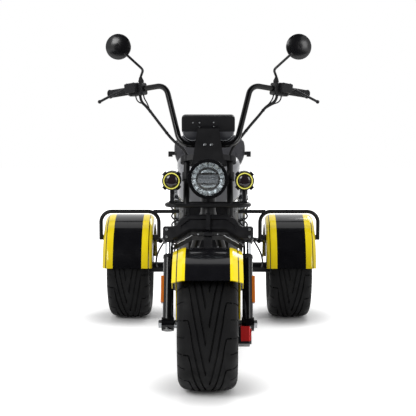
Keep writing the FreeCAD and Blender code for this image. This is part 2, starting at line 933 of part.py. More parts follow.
fender_top = "sizes.front_fender_radius"
fender_side = "sizes.front_fender_width / 2"
front_half = [
    ("sizes.front_fender_flat / 2", fender_top),
    (fender_side, fender_top + " - sizes.front_fender_drop"),
    (fender_side, fender_top + " - sizes.front_fender_drop - sizes.front_fender_skirt"),
]
fender(
    "front_fender",
    front_centre,
    -s.front_fender_tail,
    open_section(front_half),
    "sizes.front_fender_lead + sizes.front_fender_tail",
    [],
)
rear_side = "sizes.rear_fender_width / 2"
rear_top = "sizes.rear_fender_radius"
rear_half = [(rear_side, rear_top), (rear_side, rear_top + " - sizes.rear_fender_skirt")]
outer_round = (
    "_outer_round",
    lambda edge: ring_edge(edge, s.rear_fender_radius, s.rear_fender_width / 2),
    "sizes.rear_fender_round",
)
inner_round = (
    "_inner_round",
    lambda edge: ring_edge(
        edge, s.rear_fender_radius - s.fender_wall, s.rear_fender_width / 2 - s.fender_wall
    ),
    "sizes.rear_fender_round - sizes.fender_wall",
)
for side, hand in ((1, "left"), (-1, "right")):
    fender(
        "rear_fender_" + hand,
        vec(side * wheel_x, rear_axle_y, wheel_height),
        -s.rear_fender_tail,
        open_section(rear_half),
        "sizes.rear_fender_lead + sizes.rear_fender_tail",
        [outer_round, inner_round],
    )

# Carrier of the front fender: a bent strap between the legs with a post and a pad
strap_low = s.yoke_foot_height
strap_points = [
    (s.yoke_foot_width / 2, strap_low),
    (s.yoke_foot_width / 2, strap_low + s.yoke_rise),
    (s.yoke_top_width / 2, strap_low + s.yoke_rise + s.yoke_slope),
]
yoke_outer = [(-across, up) for across, up in strap_points] + [
    (across, up) for across, up in reversed(strap_points)
]
wall = s.yoke_wall
strap_inner = [
    (s.yoke_foot_width / 2 - wall, strap_low),
    (s.yoke_foot_width / 2 - wall, strap_low + s.yoke_rise - wall),
    (s.yoke_top_width / 2 - wall, strap_low + s.yoke_rise + s.yoke_slope - wall),
]
yoke_inner = strap_inner + [(-across, up) for across, up in reversed(strap_inner)]
yoke = slab(
    [vec(across, -s.yoke_depth / 2, up) for across, up in yoke_outer + yoke_inner],
    y_axis * s.yoke_depth,
)
yoke_top = strap_low + s.yoke_rise + s.yoke_slope
post_foot = s.front_fender_radius + s.seat_gap
fender_post = box_between(
    vec(-s.fender_post_width / 2, -s.fender_post_width / 2, post_foot),
    vec(s.fender_post_width / 2, s.fender_post_width / 2, s.crown_arch - s.seat_gap),
)
pad = box_between(
    vec(-s.fender_pad_width / 2, -s.fender_pad_depth / 2, post_foot),
    vec(s.fender_pad_width / 2, s.fender_pad_depth / 2, post_foot + 2 * s.yoke_wall),
)
yoke = fused([yoke, fender_post, pad])
wheel_clear = rod(
    vec(-s.overrun, 0, 0), vec(s.overrun, 0, 0), s.front_fender_radius + s.seat_gap
)
yoke = yoke.cut(wheel_clear)
yoke.Placement = fork
feature("fender_yoke", yoke)

# Front brake caliper, bridging the disc below the left leg
disc_x = s.front_hub_length / 2 - s.brake_disc_thickness / 2
caliper_inner = disc_x - s.caliper_slot / 2 - s.caliper_round
caliper_top = -s.lug_radius - s.seat_gap
caliper = box_between(
    vec(caliper_inner, -s.caliper_start - s.caliper_length, caliper_top - s.caliper_height),
    vec(caliper_inner + s.caliper_width, -s.caliper_start, caliper_top),
)
caliper = caliper.makeFillet(s.caliper_round - s.yoke_wall, caliper.Edges)
caliper = caliper.cut(
    rod(
        vec(disc_x - s.caliper_slot / 2, 0, 0),
        vec(disc_x + s.caliper_slot / 2, 0, 0),
        s.brake_disc_radius + s.caliper_slot / 2,
    )
)
pistons = [
    rod(
        vec(caliper_inner + s.caliper_width - s.piston_proud, across, up),
        vec(caliper_inner + s.caliper_width + s.piston_proud, across, up),
        s.piston_radius,
    )
    for across, up in [
        (-s.caliper_start - s.caliper_length / 2, caliper_top - s.caliper_height * share)
        for share in (s.caliper_bolt_share, 1 - s.caliper_bolt_share)
    ]
]
caliper = fused([caliper] + pistons)
caliper.Placement = fork
feature("front_caliper", caliper)

# Headlamp: drawn along X and turned to face forward
forward = FreeCAD.Rotation(z_axis, -90)
lamp_place = FreeCAD.Placement(vec(0, s.headlamp_face, s.headlamp_height), forward)
body = new_body("headlamp_body")
inner = "sizes.headlamp_radius - sizes.headlamp_bezel"
sketch = sketch_outline(
    body,
    "headlamp_section",
    "XZ_Plane",
    [
        ("0", inner),
        ("0", "sizes.headlamp_radius"),
        ("-sizes.headlamp_depth * sizes.headlamp_waist_share", "sizes.headlamp_radius"),
        ("-sizes.headlamp_depth", "sizes.headlamp_back_radius"),
        ("-sizes.headlamp_depth", "0"),
        ("-sizes.headlamp_recess", "0"),
        ("-sizes.headlamp_recess", inner),
    ],
)
bowl = revolve(body, sketch, "headlamp_bowl", 360)
round_edges(
    body,
    bowl,
    "headlamp_round",
    lambda edge: ring_edge(edge, s.headlamp_radius, s.headlamp_depth * s.headlamp_waist_share)
    or ring_edge(edge, s.headlamp_back_radius, s.headlamp_depth),
    "sizes.headlamp_bezel",
)
body.Placement = lamp_place

body = new_body("headlamp_lens")
back = "sizes.seat_gap - sizes.headlamp_recess"
front = "sizes.seat_gap - sizes.headlamp_recess + sizes.lens_thickness"
floor = "sizes.seat_gap - sizes.headlamp_recess + sizes.lens_thickness - sizes.lens_groove_depth"
sketch = sketch_outline(
    body,
    "lens_section",
    "XZ_Plane",
    [
        (back, "0"),
        (back, "sizes.lens_ring_outer"),
        (front, "sizes.lens_ring_outer"),
        (front, "sizes.lens_ring_inner"),
        (floor, "sizes.lens_ring_inner"),
        (floor, "sizes.lens_disc_radius"),
        (front, "sizes.lens_disc_radius"),
        (front, "0"),
    ],
)
glass = revolve(body, sketch, "lens_blank", 360)
lens_front = FreeCAD.Placement(vec(float(sheet.evalExpression(front)), 0, 0), FreeCAD.Rotation())


def lens_groove(name, corners):
    groove = sketch_outline(body, name + "_outline", "YZ_Plane", corners)
    groove.AttachmentOffset = FreeCAD.Placement(vec(0, 0, lens_front.Base.x), FreeCAD.Rotation())
    doc.recompute()
    before = body.Shape.Volume
    pocket = body.newObject("PartDesign::Pocket", name)
    pocket.Profile = groove
    pocket.setExpression("Length", "sizes.lens_groove_depth")
    doc.recompute()
    if not pocket.Shape.Volume < before:
        raise ValueError("a lens groove cuts nothing")
    return pocket


groove_side = "sizes.lens_groove_width / 2"
groove_start = "sizes.lens_ring_inner - sizes.lens_groove_width / 2"
groove_end = "sizes.lens_ring_outer + sizes.lens_groove_width"
radial = lens_groove(
    "lens_radial",
    [
        ("-" + groove_side, groove_start),
        (groove_side, groove_start),
        (groove_side, groove_end),
        ("-" + groove_side, groove_end),
    ],
)
segments = body.newObject("PartDesign::PolarPattern", "lens_segments")
segments.Originals = [radial]
segments.Axis = (sketch, ["H_Axis"])
segments.Angle = 360
segments.setExpression("Occurrences", "sizes.lens_segment_count")
body.Tip = segments
doc.recompute()
for name, sign in (("lens_bar_upper", ""), ("lens_bar_lower", "-")):
    level = sign + "sizes.lens_bar_half_height"
    lens_groove(
        name,
        [
            ("-sizes.lens_disc_radius", level + " - " + groove_side),
            ("sizes.lens_disc_radius", level + " - " + groove_side),
            ("sizes.lens_disc_radius", level + " + " + groove_side),
            ("-sizes.lens_disc_radius", level + " + " + groove_side),
        ],
    )
body.Placement = lamp_place


def turned(profile, base, direction):
    """A solid of revolution from (along, radius) pairs, along a direction from its base."""
    outline = sharp_polygon([vec(radius, 0, along) for along, radius in profile])
    solid = outline.revolve(vec(0, 0, 0), z_axis, 360)
    solid.Placement = FreeCAD.Placement(base, FreeCAD.Rotation(z_axis, direction))
    return solid


# Spot lamps with finned backs, on clamps round the hoop
spots, rings, lenses = [], [], []
fin_count = 4
fin_start = s.spot_depth / 2
fin_pitch = (s.spot_depth - fin_start) / fin_count
spot_profile = [(s.spot_ring_wire, 0), (s.spot_ring_wire, s.spot_lens_radius)]
spot_profile += [(0, s.spot_lens_radius + s.spot_ring_wire), (0, s.spot_radius)]
for fin in range(fin_count):
    along = fin_start + fin * fin_pitch
    spot_profile += [
        (along, s.spot_radius),
        (along, s.spot_radius - 2 * s.spot_ring_wire),
        (along + fin_pitch / 2, s.spot_radius - 2 * s.spot_ring_wire),
        (along + fin_pitch / 2, s.spot_radius),
    ]
spot_profile += [(s.spot_depth, s.spot_radius), (s.spot_depth, 0)]
spot = turned(spot_profile, vec(s.spot_spread / 2, s.spot_face, s.spot_height), y_axis)
tabs = []
for turn in (45, 135, 225, 315):
    tab = box_between(
        vec(s.spot_radius - s.spot_ring_wire, -s.spot_post_radius, 0),
        vec(s.spot_radius + 2 * s.spot_ring_wire, s.spot_post_radius, fin_start),
    )
    tab.Placement = FreeCAD.Placement(
        vec(s.spot_spread / 2, s.spot_face, s.spot_height),
        FreeCAD.Rotation(z_axis, y_axis).multiply(FreeCAD.Rotation(z_axis, turn)),
    )
    tabs.append(tab)
post_y = hoop_back - s.spot_ring_wire * 2
hoop_tube_big = tube(half_hoop, s.hoop_tube_radius + s.seat_gap, [hoop_bend, hoop_bend])
clamp_side = s.hoop_tube_radius + s.spot_ring_wire
post = rod(
    vec(s.spot_spread / 2, post_y, s.hoop_height),
    vec(s.spot_spread / 2, post_y, s.spot_height),
    s.spot_post_radius,
)
clamp_box = box_between(
    vec(s.spot_spread / 2 - clamp_side, post_y - clamp_side, s.hoop_height - clamp_side),
    vec(s.spot_spread / 2 + clamp_side, post_y + clamp_side, s.hoop_height + clamp_side),
)
spot = fused([spot, post, clamp_box] + tabs).cut(hoop_tube_big)
ring = Part.makeTorus(
    s.spot_ring_radius,
    s.spot_ring_wire - s.seat_gap,
    vec(s.spot_spread / 2, s.spot_face - s.spot_ring_wire, s.spot_height),
    y_axis,
)
spot_lens = turned(
    [
        (0, 0),
        (s.spot_ring_wire - s.seat_gap, 0),
        (s.spot_ring_wire - s.seat_gap, s.spot_lens_radius - s.seat_gap),
        (0, s.spot_lens_radius - s.spot_ring_wire),
    ],
    vec(s.spot_spread / 2, s.spot_face, s.spot_height),
    y_axis,
)
group("spot_lamps", both_sides(spot))
group("spot_lamp_rings", both_sides(ring))
group("spot_lamp_lenses", both_sides(spot_lens))

# Lamp bracket: a tapered plate in front of the bar, and an ear to each side of the headlamp
plate_back = bar_centre.y - s.riser_depth / 2 - s.bracket_stand_off
plate_front = plate_back - s.bracket_wall


def along_fork(height, across):
    """How far up the fork's frame a height in the vehicle's frame is, this far behind it."""
    tilt = math.radians(s.rake_angle)
    return (height - wheel_height + across * math.sin(tilt)) / math.cos(tilt)


plate_low = along_fork(s.bracket_bottom, plate_back)
plate_high = along_fork(s.bracket_top, plate_back)
plate = slab(
    [
        vec(-s.bracket_bottom_width / 2, plate_front, plate_low),
        vec(s.bracket_bottom_width / 2, plate_front, plate_low),
        vec(s.bracket_top_width / 2, plate_front, plate_high),
        vec(-s.bracket_top_width / 2, plate_front, plate_high),
    ],
    y_axis * s.bracket_wall,
)
bosses = [
    rod(
        vec(side * s.riser_width / 6, plate_back - s.bracket_wall / 2, bar_centre.z + s.bar_radius),
        vec(side * s.riser_width / 6, plate_back + s.bracket_stand_off, bar_centre.z + s.bar_radius),
        s.bracket_wall,
    )
    for side in sides
]
plate = fused([plate] + bosses)
plate.Placement = fork
tube_at_lamp = on_fork(0, 0, along_fork(s.headlamp_height, 0))
ears = []
for side in sides:
    ear = box_between(
        vec(
            s.headlamp_radius + s.seat_gap,
            s.headlamp_face + s.headlamp_bezel,
            s.headlamp_height - s.bracket_ear / 2,
        ),
        vec(
            s.headlamp_radius + s.bracket_wall,
            tube_at_lamp.y,
            s.headlamp_height + s.bracket_ear / 2,
        ),
    )
    sleeve = rod(
        tube_at_lamp + x_axis * tube_x - fork_up * (s.bracket_ear / 2),
        tube_at_lamp + x_axis * tube_x + fork_up * (s.bracket_ear / 2),
        s.upper_tube_radius + s.bracket_wall,
    )
    hole = rod(
        tube_at_lamp + x_axis * tube_x - fork_up * s.overrun,
        tube_at_lamp + x_axis * tube_x + fork_up * s.overrun,
        s.upper_tube_radius + s.seat_gap,
    )
    strap = fused([ear, sleeve]).cut(hole)
    ears.append(strap if side == 1 else mirrored(strap))
group("lamp_bracket", [plate] + ears)

# Dash: a rounded panel in front of two round cups, on a boss from the bracket
dash_place = FreeCAD.Placement(
    vec(0, s.dash_plane, s.dash_bottom), FreeCAD.Rotation(x_axis, s.dash_tilt)
)
panel = box_between(
    vec(-s.dash_half_width, 0, 0), vec(s.dash_half_width, s.dash_thickness, s.dash_top - s.dash_bottom)
)


def corner_edge(edge):
    ends = [vertex.Point for vertex in edge.Vertexes]
    return abs(ends[0].x - ends[1].x) + abs(ends[0].z - ends[1].z) < 0.01


panel = panel.makeFillet(s.dash_corner, [edge for edge in panel.Edges if corner_edge(edge)])
cups = [
    Part.makeCylinder(
        s.dash_cup_radius,
        s.dash_cup_depth,
        vec(side * s.dash_cup_spread / 2, s.dash_thickness / 3, s.dash_cup_rise),
        y_axis,
    )
    for side in sides
]
screen = box_between(
    vec(-s.dash_half_width + s.dash_corner, s.dash_thickness - s.bracket_wall / 2, s.dash_cup_rise),
    vec(
        s.dash_half_width - s.dash_corner,
        s.dash_thickness + s.dash_cup_depth,
        s.dash_top - s.dash_bottom - s.dash_corner / 2,
    ),
)
dash = fused([panel.cut(screen)] + [cup.cut(screen) for cup in cups])
dash.Placement = dash_place
plate_reach = on_fork(0, plate_back + s.seat_gap, plate_high)
dash_boss = box_between(
    vec(-s.bracket_top_width / 3, plate_reach.y, s.dash_bottom + s.bracket_wall),
    vec(s.bracket_top_width / 3, s.dash_plane + s.dash_thickness / 2, s.bracket_top),
)
plate_cut = slab(
    [
        vec(-s.overrun, plate_back + s.seat_gap - s.overrun, plate_low),
        vec(s.overrun, plate_back + s.seat_gap - s.overrun, plate_low),
        vec(s.overrun, plate_back + s.seat_gap - s.overrun, plate_high + s.overrun),
        vec(-s.overrun, plate_back + s.seat_gap - s.overrun, plate_high + s.overrun),
    ],
    y_axis * s.overrun,
)
plate_cut.Placement = fork
feature("dash_panel", fused([dash, dash_boss.cut(plate_cut)]))

# Handlebar: one bent tube, with grips, control blocks, levers and mirrors on its ends
bar_corner = vec(s.bar_upper_x, s.bar_upper_y, s.bar_upper_height)
bar_end = vec(s.bar_end_x, s.bar_end_y, s.bar_end_height)
bar_way = (bar_end - bar_corner).normalize()
bar_run = (bar_end - bar_corner).Length
half_bar = [
    vec(0, s.bar_plane, s.bar_height),
    vec(s.bar_lower_x, s.bar_plane, s.bar_height),
    bar_corner,
    bar_end,
]
bar = tube(half_bar, s.bar_radius, [s.bar_lower_bend, s.bar_upper_bend])
feature("handlebar", fused(both_sides(bar)))


def from_bar_end(back):
    return bar_end - bar_way * back


grip_start = from_bar_end(s.grip_length)
grip = rod(grip_start, bar_end + bar_way * s.grip_cap, s.grip_radius)
grip = fused(
    [grip]
    + [
        rod(from_bar_end(at), from_bar_end(at - s.grip_cap), s.grip_radius + s.grip_cap / 2)
        for at in (s.grip_length, s.grip_cap)
    ]
)
bar_hole = rod(from_bar_end(2 * s.grip_length), bar_end, s.bar_radius + s.seat_gap)
group("handlebar_grips", both_sides(grip.cut(bar_hole)))

block_outer = s.grip_length + s.block_gap
level_way = z_axis.cross(bar_way).normalize()
block_axes = FreeCAD.Rotation(bar_way, level_way, bar_way.cross(level_way), "XYZ")
block_place = FreeCAD.Placement(from_bar_end(block_outer + s.block_length), block_axes)
block = box_between(
    vec(0, -s.block_radius, -s.block_radius), vec(s.block_length, s.block_radius, s.block_radius)
)
block = block.makeFillet(s.block_round, block.Edges)
reservoir = box_between(
    vec(s.block_length / 4, -2 * s.block_radius, -s.block_radius / 2),
    vec(s.block_length, 0, s.block_radius),
)
reservoir = reservoir.makeFillet(s.block_round / 2, reservoir.Edges)
boss_place = s.mirror_boss_radius * s.mirror_boss_share
mirror_boss = Part.makeCylinder(
    s.mirror_boss_radius, s.mirror_boss_height, vec(boss_place, 0, 0)
)
block = fused([block, reservoir, mirror_boss])
block = block.cut(
    Part.makeCylinder(
        s.bar_radius + s.seat_gap, s.block_length + 2 * s.overrun, vec(-s.overrun, 0, 0), x_axis
    )
)
block.Placement = block_place
group("control_blocks", both_sides(block))

lever_start = block_place.multVec(
    vec(s.block_length + s.seat_gap, -s.block_radius * s.lever_root_share, s.block_radius / 4)
)
lever_end = vec(s.lever_end_x, s.lever_end_y, s.lever_end_height)
lever_bow = (lever_start + lever_end) * (1 / 2) - level_way * s.lever_bow
lever_neck = lever_start + bar_way * (2 * s.lever_radius)
lever = tube(
    [lever_start, lever_neck, lever_bow, lever_end],
    s.lever_radius,
    [s.block_radius, s.lever_bend],
)
lever = fused([lever, Part.makeSphere(s.lever_ball_radius, lever_end)])
group("brake_levers", both_sides(lever))

# Mirrors: bent stems and domed round shells with the glass set in the back
stem_foot = block_place.multVec(vec(boss_place, 0, s.mirror_boss_height + s.seat_gap))
mirror_centre = vec(s.mirror_x, s.mirror_y, s.mirror_height)
toe_in = FreeCAD.Rotation(z_axis, s.mirror_toe)
mirror_place = FreeCAD.Placement(mirror_centre, toe_in)
stem_knee = vec(s.mirror_knee_x, s.mirror_y - s.mirror_thickness / 2, s.mirror_knee_height)
stem_way = (mirror_centre - stem_knee).normalize()
stem_reach = stem_way * (s.mirror_radius * s.mirror_stem_share)
stem_top = mirror_place.multVec(vec(-stem_reach.x, -s.mirror_thickness / 2, -stem_reach.z))
stem_start = stem_foot + block_axes.multVec(z_axis) * s.mirror_bend
mirror_stem = tube(
    [stem_foot, stem_start, stem_knee, stem_top], s.mirror_stem_radius, [s.mirror_bend, s.mirror_bend]
)
rim_depth = s.mirror_thickness * s.mirror_rim_share
shell_edges = [
    Part.LineSegment(vec(0, 0, 0), vec(s.mirror_radius, 0, 0)).toShape(),
    Part.LineSegment(vec(s.mirror_radius, 0, 0), vec(s.mirror_radius, -rim_depth, 0)).toShape(),
    Part.Arc(
        vec(s.mirror_radius, -rim_depth, 0),
        vec(
            s.mirror_radius * s.mirror_dome_share,
            -s.mirror_thickness * s.mirror_dome_depth_share,
            0,
        ),
        vec(0, -s.mirror_thickness, 0),
    ).toShape(),
    Part.LineSegment(vec(0, -s.mirror_thickness, 0), vec(0, 0, 0)).toShape(),
]
mirror_shell = Part.Face(Part.Wire(shell_edges)).revolve(vec(0, 0, 0), y_axis, 360)
mirror_shell.Placement = mirror_place
group("mirrors", both_sides(fused([mirror_stem, mirror_shell])))
mirror_glass = Part.makeCylinder(
    s.mirror_glass_radius, s.mirror_glass_thickness, vec(0, s.seat_gap / 2, 0), y_axis
)
mirror_glass.Placement = mirror_place
group("mirror_glass", both_sides(mirror_glass))

# Control cables, from under the blocks to the tops of the upper tubes
tube_top = on_fork(0, 0, clamp_high + s.seat_gap)


def cord(points, radius):
    """A cable along a route, each arc as large as its two runs allow."""
    bends = []
    for before, corner, after in zip(points, points[1:], points[2:]):
        back, ahead = before - corner, after - corner
        half_turn = (math.pi - back.getAngle(ahead)) / 2
        bends.append(s.cord_bend_share * min(back.Length, ahead.Length) / math.tan(half_turn))
    return tube(points, radius, bends)


def cable_route(hand, places):
    foot = block_place.multVec(vec(s.block_radius, 0, -s.block_radius - s.seat_gap))
    neck = block_place.multVec(vec(s.block_radius, 0, -2 * s.block_radius))
    ends = [vec(hand * point.x, point.y, point.z) for point in (foot, neck)]
    ends += [vec(0, front_axle_y, s.bar_height) + vec(*place) for place in places]
    over = tube_top + fork_up * s.block_radius
    return ends + [vec(hand * tube_x, point.y, point.z) for point in (over, tube_top)]


left_route = cable_route(
    1, [(226, 407.5, 146), (199, 376.5, 113), (162, 339.5, 73), (126, 313.5, 30)]
)
right_route = cable_route(
    -1, [(-240, 406.5, 142), (-214, 383.5, 110), (-182, 355.5, 70), (-138, 321.5, 16)]
)
group("control_cables", [cord(route, s.cable_radius) for route in (left_route, right_route)])

# Main frame: head tube, backbone, bent cradle tubes, seat rails and cross tubes
head_tube = rod(
    on_fork(0, s.stem_offset, head_low), on_fork(0, s.stem_offset, head_high), s.head_tube_radius
)
stem_bore = rod(
    on_fork(0, s.stem_offset, head_low - s.overrun),
    on_fork(0, s.stem_offset, head_high + s.overrun),
    s.stem_radius + s.running_clearance,
)
rail_x = s.deck_rail_spread / 2
seat_x = s.seat_rail_spread / 2
cradle_joint = head_low + s.head_tube_length * s.cradle_joint_share
cradle_top = on_fork(s.frame_tube_radius / 2, s.stem_offset, cradle_joint)
cradle_points = [
    cradle_top,
    vec(rail_x, s.deck_front, s.deck_rail_height),
    vec(rail_x, s.deck_rear, s.deck_rail_height),
    vec(seat_x, s.cradle_end, s.seat_rail_height),
]
cradle = tube(cradle_points, s.frame_tube_radius, [s.cradle_front_bend, s.cradle_rear_bend])
backbone_joint = head_low + s.head_tube_length * s.backbone_joint_share
backbone_start = on_fork(0, s.stem_offset, backbone_joint)
backbone_end = vec(0, s.cowl_rear, s.seat_rail_height)
backbone = rod(backbone_start, backbone_end, s.backbone_radius)
rail_points = [
    vec(0, s.cowl_rear, s.seat_rail_height),
    vec(seat_x, s.seat_front + s.seat_rail_flare, s.seat_rail_height),
    vec(seat_x, s.seat_rail_rear, s.seat_rail_height),
]
seat_rail = tube(rail_points, s.frame_tube_radius, [s.cradle_front_bend])
front_cross_y = s.deck_front + 2 * s.frame_tube_radius + s.cross_tube_radius
rear_cross_y = s.deck_rear - s.cradle_rear_bend
cross_tubes = [
    rod(vec(-rail_x, y, s.deck_rail_height), vec(rail_x, y, s.deck_rail_height), s.cross_tube_radius)
    for y in (front_cross_y, rear_cross_y)
]
cross_tubes.append(
    rod(
        vec(-seat_x, s.seat_rail_rear, s.seat_rail_height),
        vec(seat_x, s.seat_rail_rear, s.seat_rail_height),
        s.frame_tube_radius,
    )
)
shock_x = s.shock_spread / 2
shock_top = vec(shock_x, s.shock_top_y, s.seat_rail_height)
shock_tube = rod(
    vec(-shock_x - s.spring_radius, shock_top.y, shock_top.z),
    vec(shock_x + s.spring_radius, shock_top.y, shock_top.z),
    s.shock_pin_radius,
)
pivot = vec(0, s.deck_rear + s.pivot_set_back, s.pivot_height)
arm_x = s.arm_spread / 2
pivot_tube = rod(
    pivot - x_axis * (arm_x + s.arm_radius), pivot + x_axis * (arm_x + s.arm_radius), s.shock_pin_radius
)
gusset_share = 1.3
gusset_x = rail_x - gusset_share * s.frame_tube_radius
gussets = [
    rod(
        vec(side * gusset_x, rear_cross_y, s.deck_rail_height),
        vec(side * gusset_x, pivot.y, pivot.z),
        s.shock_pin_radius,
    )
    for side in sides
]
frame_tubes = both_sides(cradle) + both_sides(seat_rail) + cross_tubes
main_frame = fused([head_tube, backbone, shock_tube, pivot_tube] + frame_tubes + gussets)
main_frame = main_frame.cut(stem_bore)
feature("main_frame", main_frame)
tube_room = s.seat_gap + s.running_clearance
backbone_room = rod(backbone_start, backbone_end, s.backbone_radius + tube_room)
rail_room = both_sides(tube(rail_points, s.frame_tube_radius + tube_room, [s.cradle_front_bend]))
rail_room.append(
    rod(
        vec(-seat_x, s.seat_rail_rear, s.seat_rail_height),
        vec(seat_x, s.seat_rail_rear, s.seat_rail_height),
        s.frame_tube_radius + tube_room,
    )
)

# Floor deck with raised ribs, and the battery case under it
deck_low = s.deck_rail_height + s.frame_tube_radius + s.seat_gap
deck_start = "sizes.deck_front + sizes.deck_set_back"
body = new_body("floor_deck")
deck_sketch = sketch_outline(
    body,
    "deck_outline",
    "XY_Plane",
    [
        ("-sizes.deck_half_width", deck_start + " + sizes.deck_corner"),
        ("-sizes.deck_half_width + sizes.deck_corner", deck_start),
        ("sizes.deck_half_width - sizes.deck_corner", deck_start),
        ("sizes.deck_half_width", deck_start + " + sizes.deck_corner"),
        ("sizes.deck_half_width", "sizes.deck_rear - sizes.deck_corner * 2"),
        ("sizes.deck_half_width - sizes.deck_corner", "sizes.deck_rear - sizes.deck_corner"),
        ("-sizes.deck_half_width + sizes.deck_corner", "sizes.deck_rear - sizes.deck_corner"),
        ("-sizes.deck_half_width", "sizes.deck_rear - sizes.deck_corner * 2"),
    ],
)
deck = body.newObject("PartDesign::Pad", "deck_plate")
deck.Profile = deck_sketch
deck.setExpression("Length", "sizes.deck_thickness")
doc.recompute()
groove_sketch = sketch_outline(
    body,
    "deck_groove_outline",
    "XY_Plane",
    [
        ("-sizes.deck_half_width * sizes.deck_groove_share", "-sizes.deck_groove / 2"),
        ("sizes.deck_half_width * sizes.deck_groove_share", "-sizes.deck_groove / 2"),
        ("sizes.deck_half_width * sizes.deck_groove_share", "sizes.deck_groove / 2"),
        ("-sizes.deck_half_width * sizes.deck_groove_share", "sizes.deck_groove / 2"),
    ],
)
groove_sketch.setExpression(
    ".AttachmentOffset.Base.y", deck_start + " + sizes.deck_corner * sizes.groove_start_share"
)
groove_sketch.setExpression(".AttachmentOffset.Base.z", "sizes.deck_thickness")
doc.recompute()
groove = body.newObject("PartDesign::Pocket", "deck_groove")
groove.Profile = groove_sketch
groove.setExpression("Length", "sizes.deck_groove_depth")
doc.recompute()
if not groove.Shape.Volume < deck.Shape.Volume:
    raise ValueError("the deck's groove cuts nothing")
grooves = body.newObject("PartDesign::LinearPattern", "deck_grooves")
grooves.Originals = [groove]
grooves.Direction = (deck_sketch, ["V_Axis"])
grooves.setExpression("Length", "sizes.deck_rear - sizes.deck_front - sizes.deck_corner * 4")
grooves.setExpression("Occurrences", "sizes.deck_rib_count")
body.Tip = grooves
doc.recompute()
body.Placement = FreeCAD.Placement(vec(0, front_axle_y, deck_low), FreeCAD.Rotation())

battery = primitive(
    "Part::Box",
    "battery_case",
    FreeCAD.Placement(
        vec(
            -s.battery_width / 2,
            (s.deck_front + s.deck_rear - s.battery_length) / 2,
            deck_low - s.seat_gap - s.battery_height,
        ),
        FreeCAD.Rotation(),
    ),
    {
        "Length": "sizes.battery_width",
        "Width": "sizes.battery_length",
        "Height": "sizes.battery_height",
    },
)
battery.Label = "battery_case"
nodes.append(battery)


def rounded_section(y, half_width, low, high, corner):
    """A rounded rectangle across the vehicle at this Y."""
    quarter_turn = 90
    corners = [
        (-half_width, low, 2 * quarter_turn),
        (half_width, low, 3 * quarter_turn),
        (half_width, high, 0),
        (-half_width, high, quarter_turn),
    ]
    signs = [(1, 1), (-1, 1), (-1, -1), (1, -1)]
    edges, first, last = [], None, None
    for (x, z, start), (to_x, to_z) in zip(corners, signs):
        centre = vec(x + to_x * corner, y, z + to_z * corner)
        arc = [
            centre + vec(math.cos(math.radians(turn)), 0, math.sin(math.radians(turn))) * corner
            for turn in (start, start + quarter_turn / 2, start + quarter_turn)
        ]
        if last is not None:
            edges.append(Part.LineSegment(last, arc[0]).toShape())
        else:
            first = arc[0]
        edges.append(Part.Arc(*arc).toShape())
        last = arc[2]
    edges.append(Part.LineSegment(last, first).toShape())
    return Part.Wire(edges)


def lofted(stations):
    return Part.makeLoft([rounded_section(*station) for station in stations], True, False)


# Cowl under the tank, and the tank cover with grooves along its sides
cowl_span = s.cowl_rear - s.cowl_front
cowl_shares = ((0, 0.7, 0.16), (0.16, 0.95, 0), (0.7, 1, 0), (1, 0.82, 0.3))
cowl = lofted(
    [
        (
            s.cowl_front + cowl_span * along,
            s.cowl_half_width * wide,
            s.cowl_bottom + (s.cowl_top - s.cowl_bottom) * low,
            s.cowl_top - s.seat_gap,
            s.cowl_corner,
        )
        for along, wide, low in cowl_shares
    ]
)
for room in [backbone_room] + rail_room:
    cowl = cowl.cut(room)
feature("body_cowl", cowl)
tank_span = s.tank_rear - s.tank_front
tank_rise = s.tank_top - s.tank_bottom
tank_shares = (
    (0, 0.62, 0.80),
    (0.10, 0.90, 0.95),
    (0.34, 1, 1),
    (0.70, 0.90, 0.84),
    (1, 0.62, 0.52),
)
tank = lofted(
    [
        (
            s.tank_front + tank_span * along,
            s.tank_half_width * wide,
            s.tank_bottom,
            s.tank_bottom + tank_rise * high,
            s.tank_corner,
        )
        for along, wide, high in tank_shares
    ]
)
tank_ribs = []
for row in range(int(s.tank_groove_count)):
    climb_share = s.tank_groove_low_share + s.tank_groove_step_share * row
    level = s.tank_bottom + tank_rise * climb_share
    for side in sides:
        tank_ribs.append(
            box_between(
                vec(side * s.tank_half_width - s.tank_groove_depth, s.tank_front, level),
                vec(
                    side * s.tank_half_width + s.tank_groove_depth,
                    s.tank_front + tank_span * s.tank_groove_reach_share,
                    level + s.tank_groove,
                ),
            )
        )
for room in tank_ribs + [backbone_room]:
    tank = tank.cut(room)
feature("tank_cover", tank)

# Seat pan, rider's seat and the passenger's backrest
pan_low = s.seat_rail_height + s.frame_tube_radius + s.seat_gap
seat_low = pan_low + s.seat_pan_wall + s.seat_gap
seat_length = s.seat_rear - s.seat_front
plan_shares = ((0, 0.5), (0.14, 0.66), (0.42, 1), (1, 1))
profile_shares = ((0, 0.55), (0.1, 0.8), (0.3, 0.72), (0.55, 0.66), (0.8, 0.86), (1, 1))


def seat_plan(low, high, inset):
    right = [
        vec(s.seat_half_width * wide - inset, s.seat_front + seat_length * along, low)
        for along, wide in plan_shares
    ]
    left = [vec(-corner.x, corner.y, low) for corner in reversed(right)]
    return slab(right + left, z_axis * (high - low))


feature("seat_pan", seat_plan(pan_low, pan_low + s.seat_pan_wall, s.seat_pan_wall))
seat_line = [
    vec(
        -s.seat_half_width - s.overrun,
        s.seat_front + seat_length * along,
        seat_low + (s.seat_top - seat_low) * high,
    )
    for along, high in profile_shares
]
seat_side = [vec(-s.seat_half_width - s.overrun, s.seat_front, seat_low)] + seat_line
seat_side.append(vec(-s.seat_half_width - s.overrun, s.seat_rear, seat_low))
seat = slab(seat_side, x_axis * (2 * s.seat_half_width + 2 * s.overrun))
seat = seat.common(seat_plan(seat_low, s.seat_top, 0))
feature("rider_seat", seat)

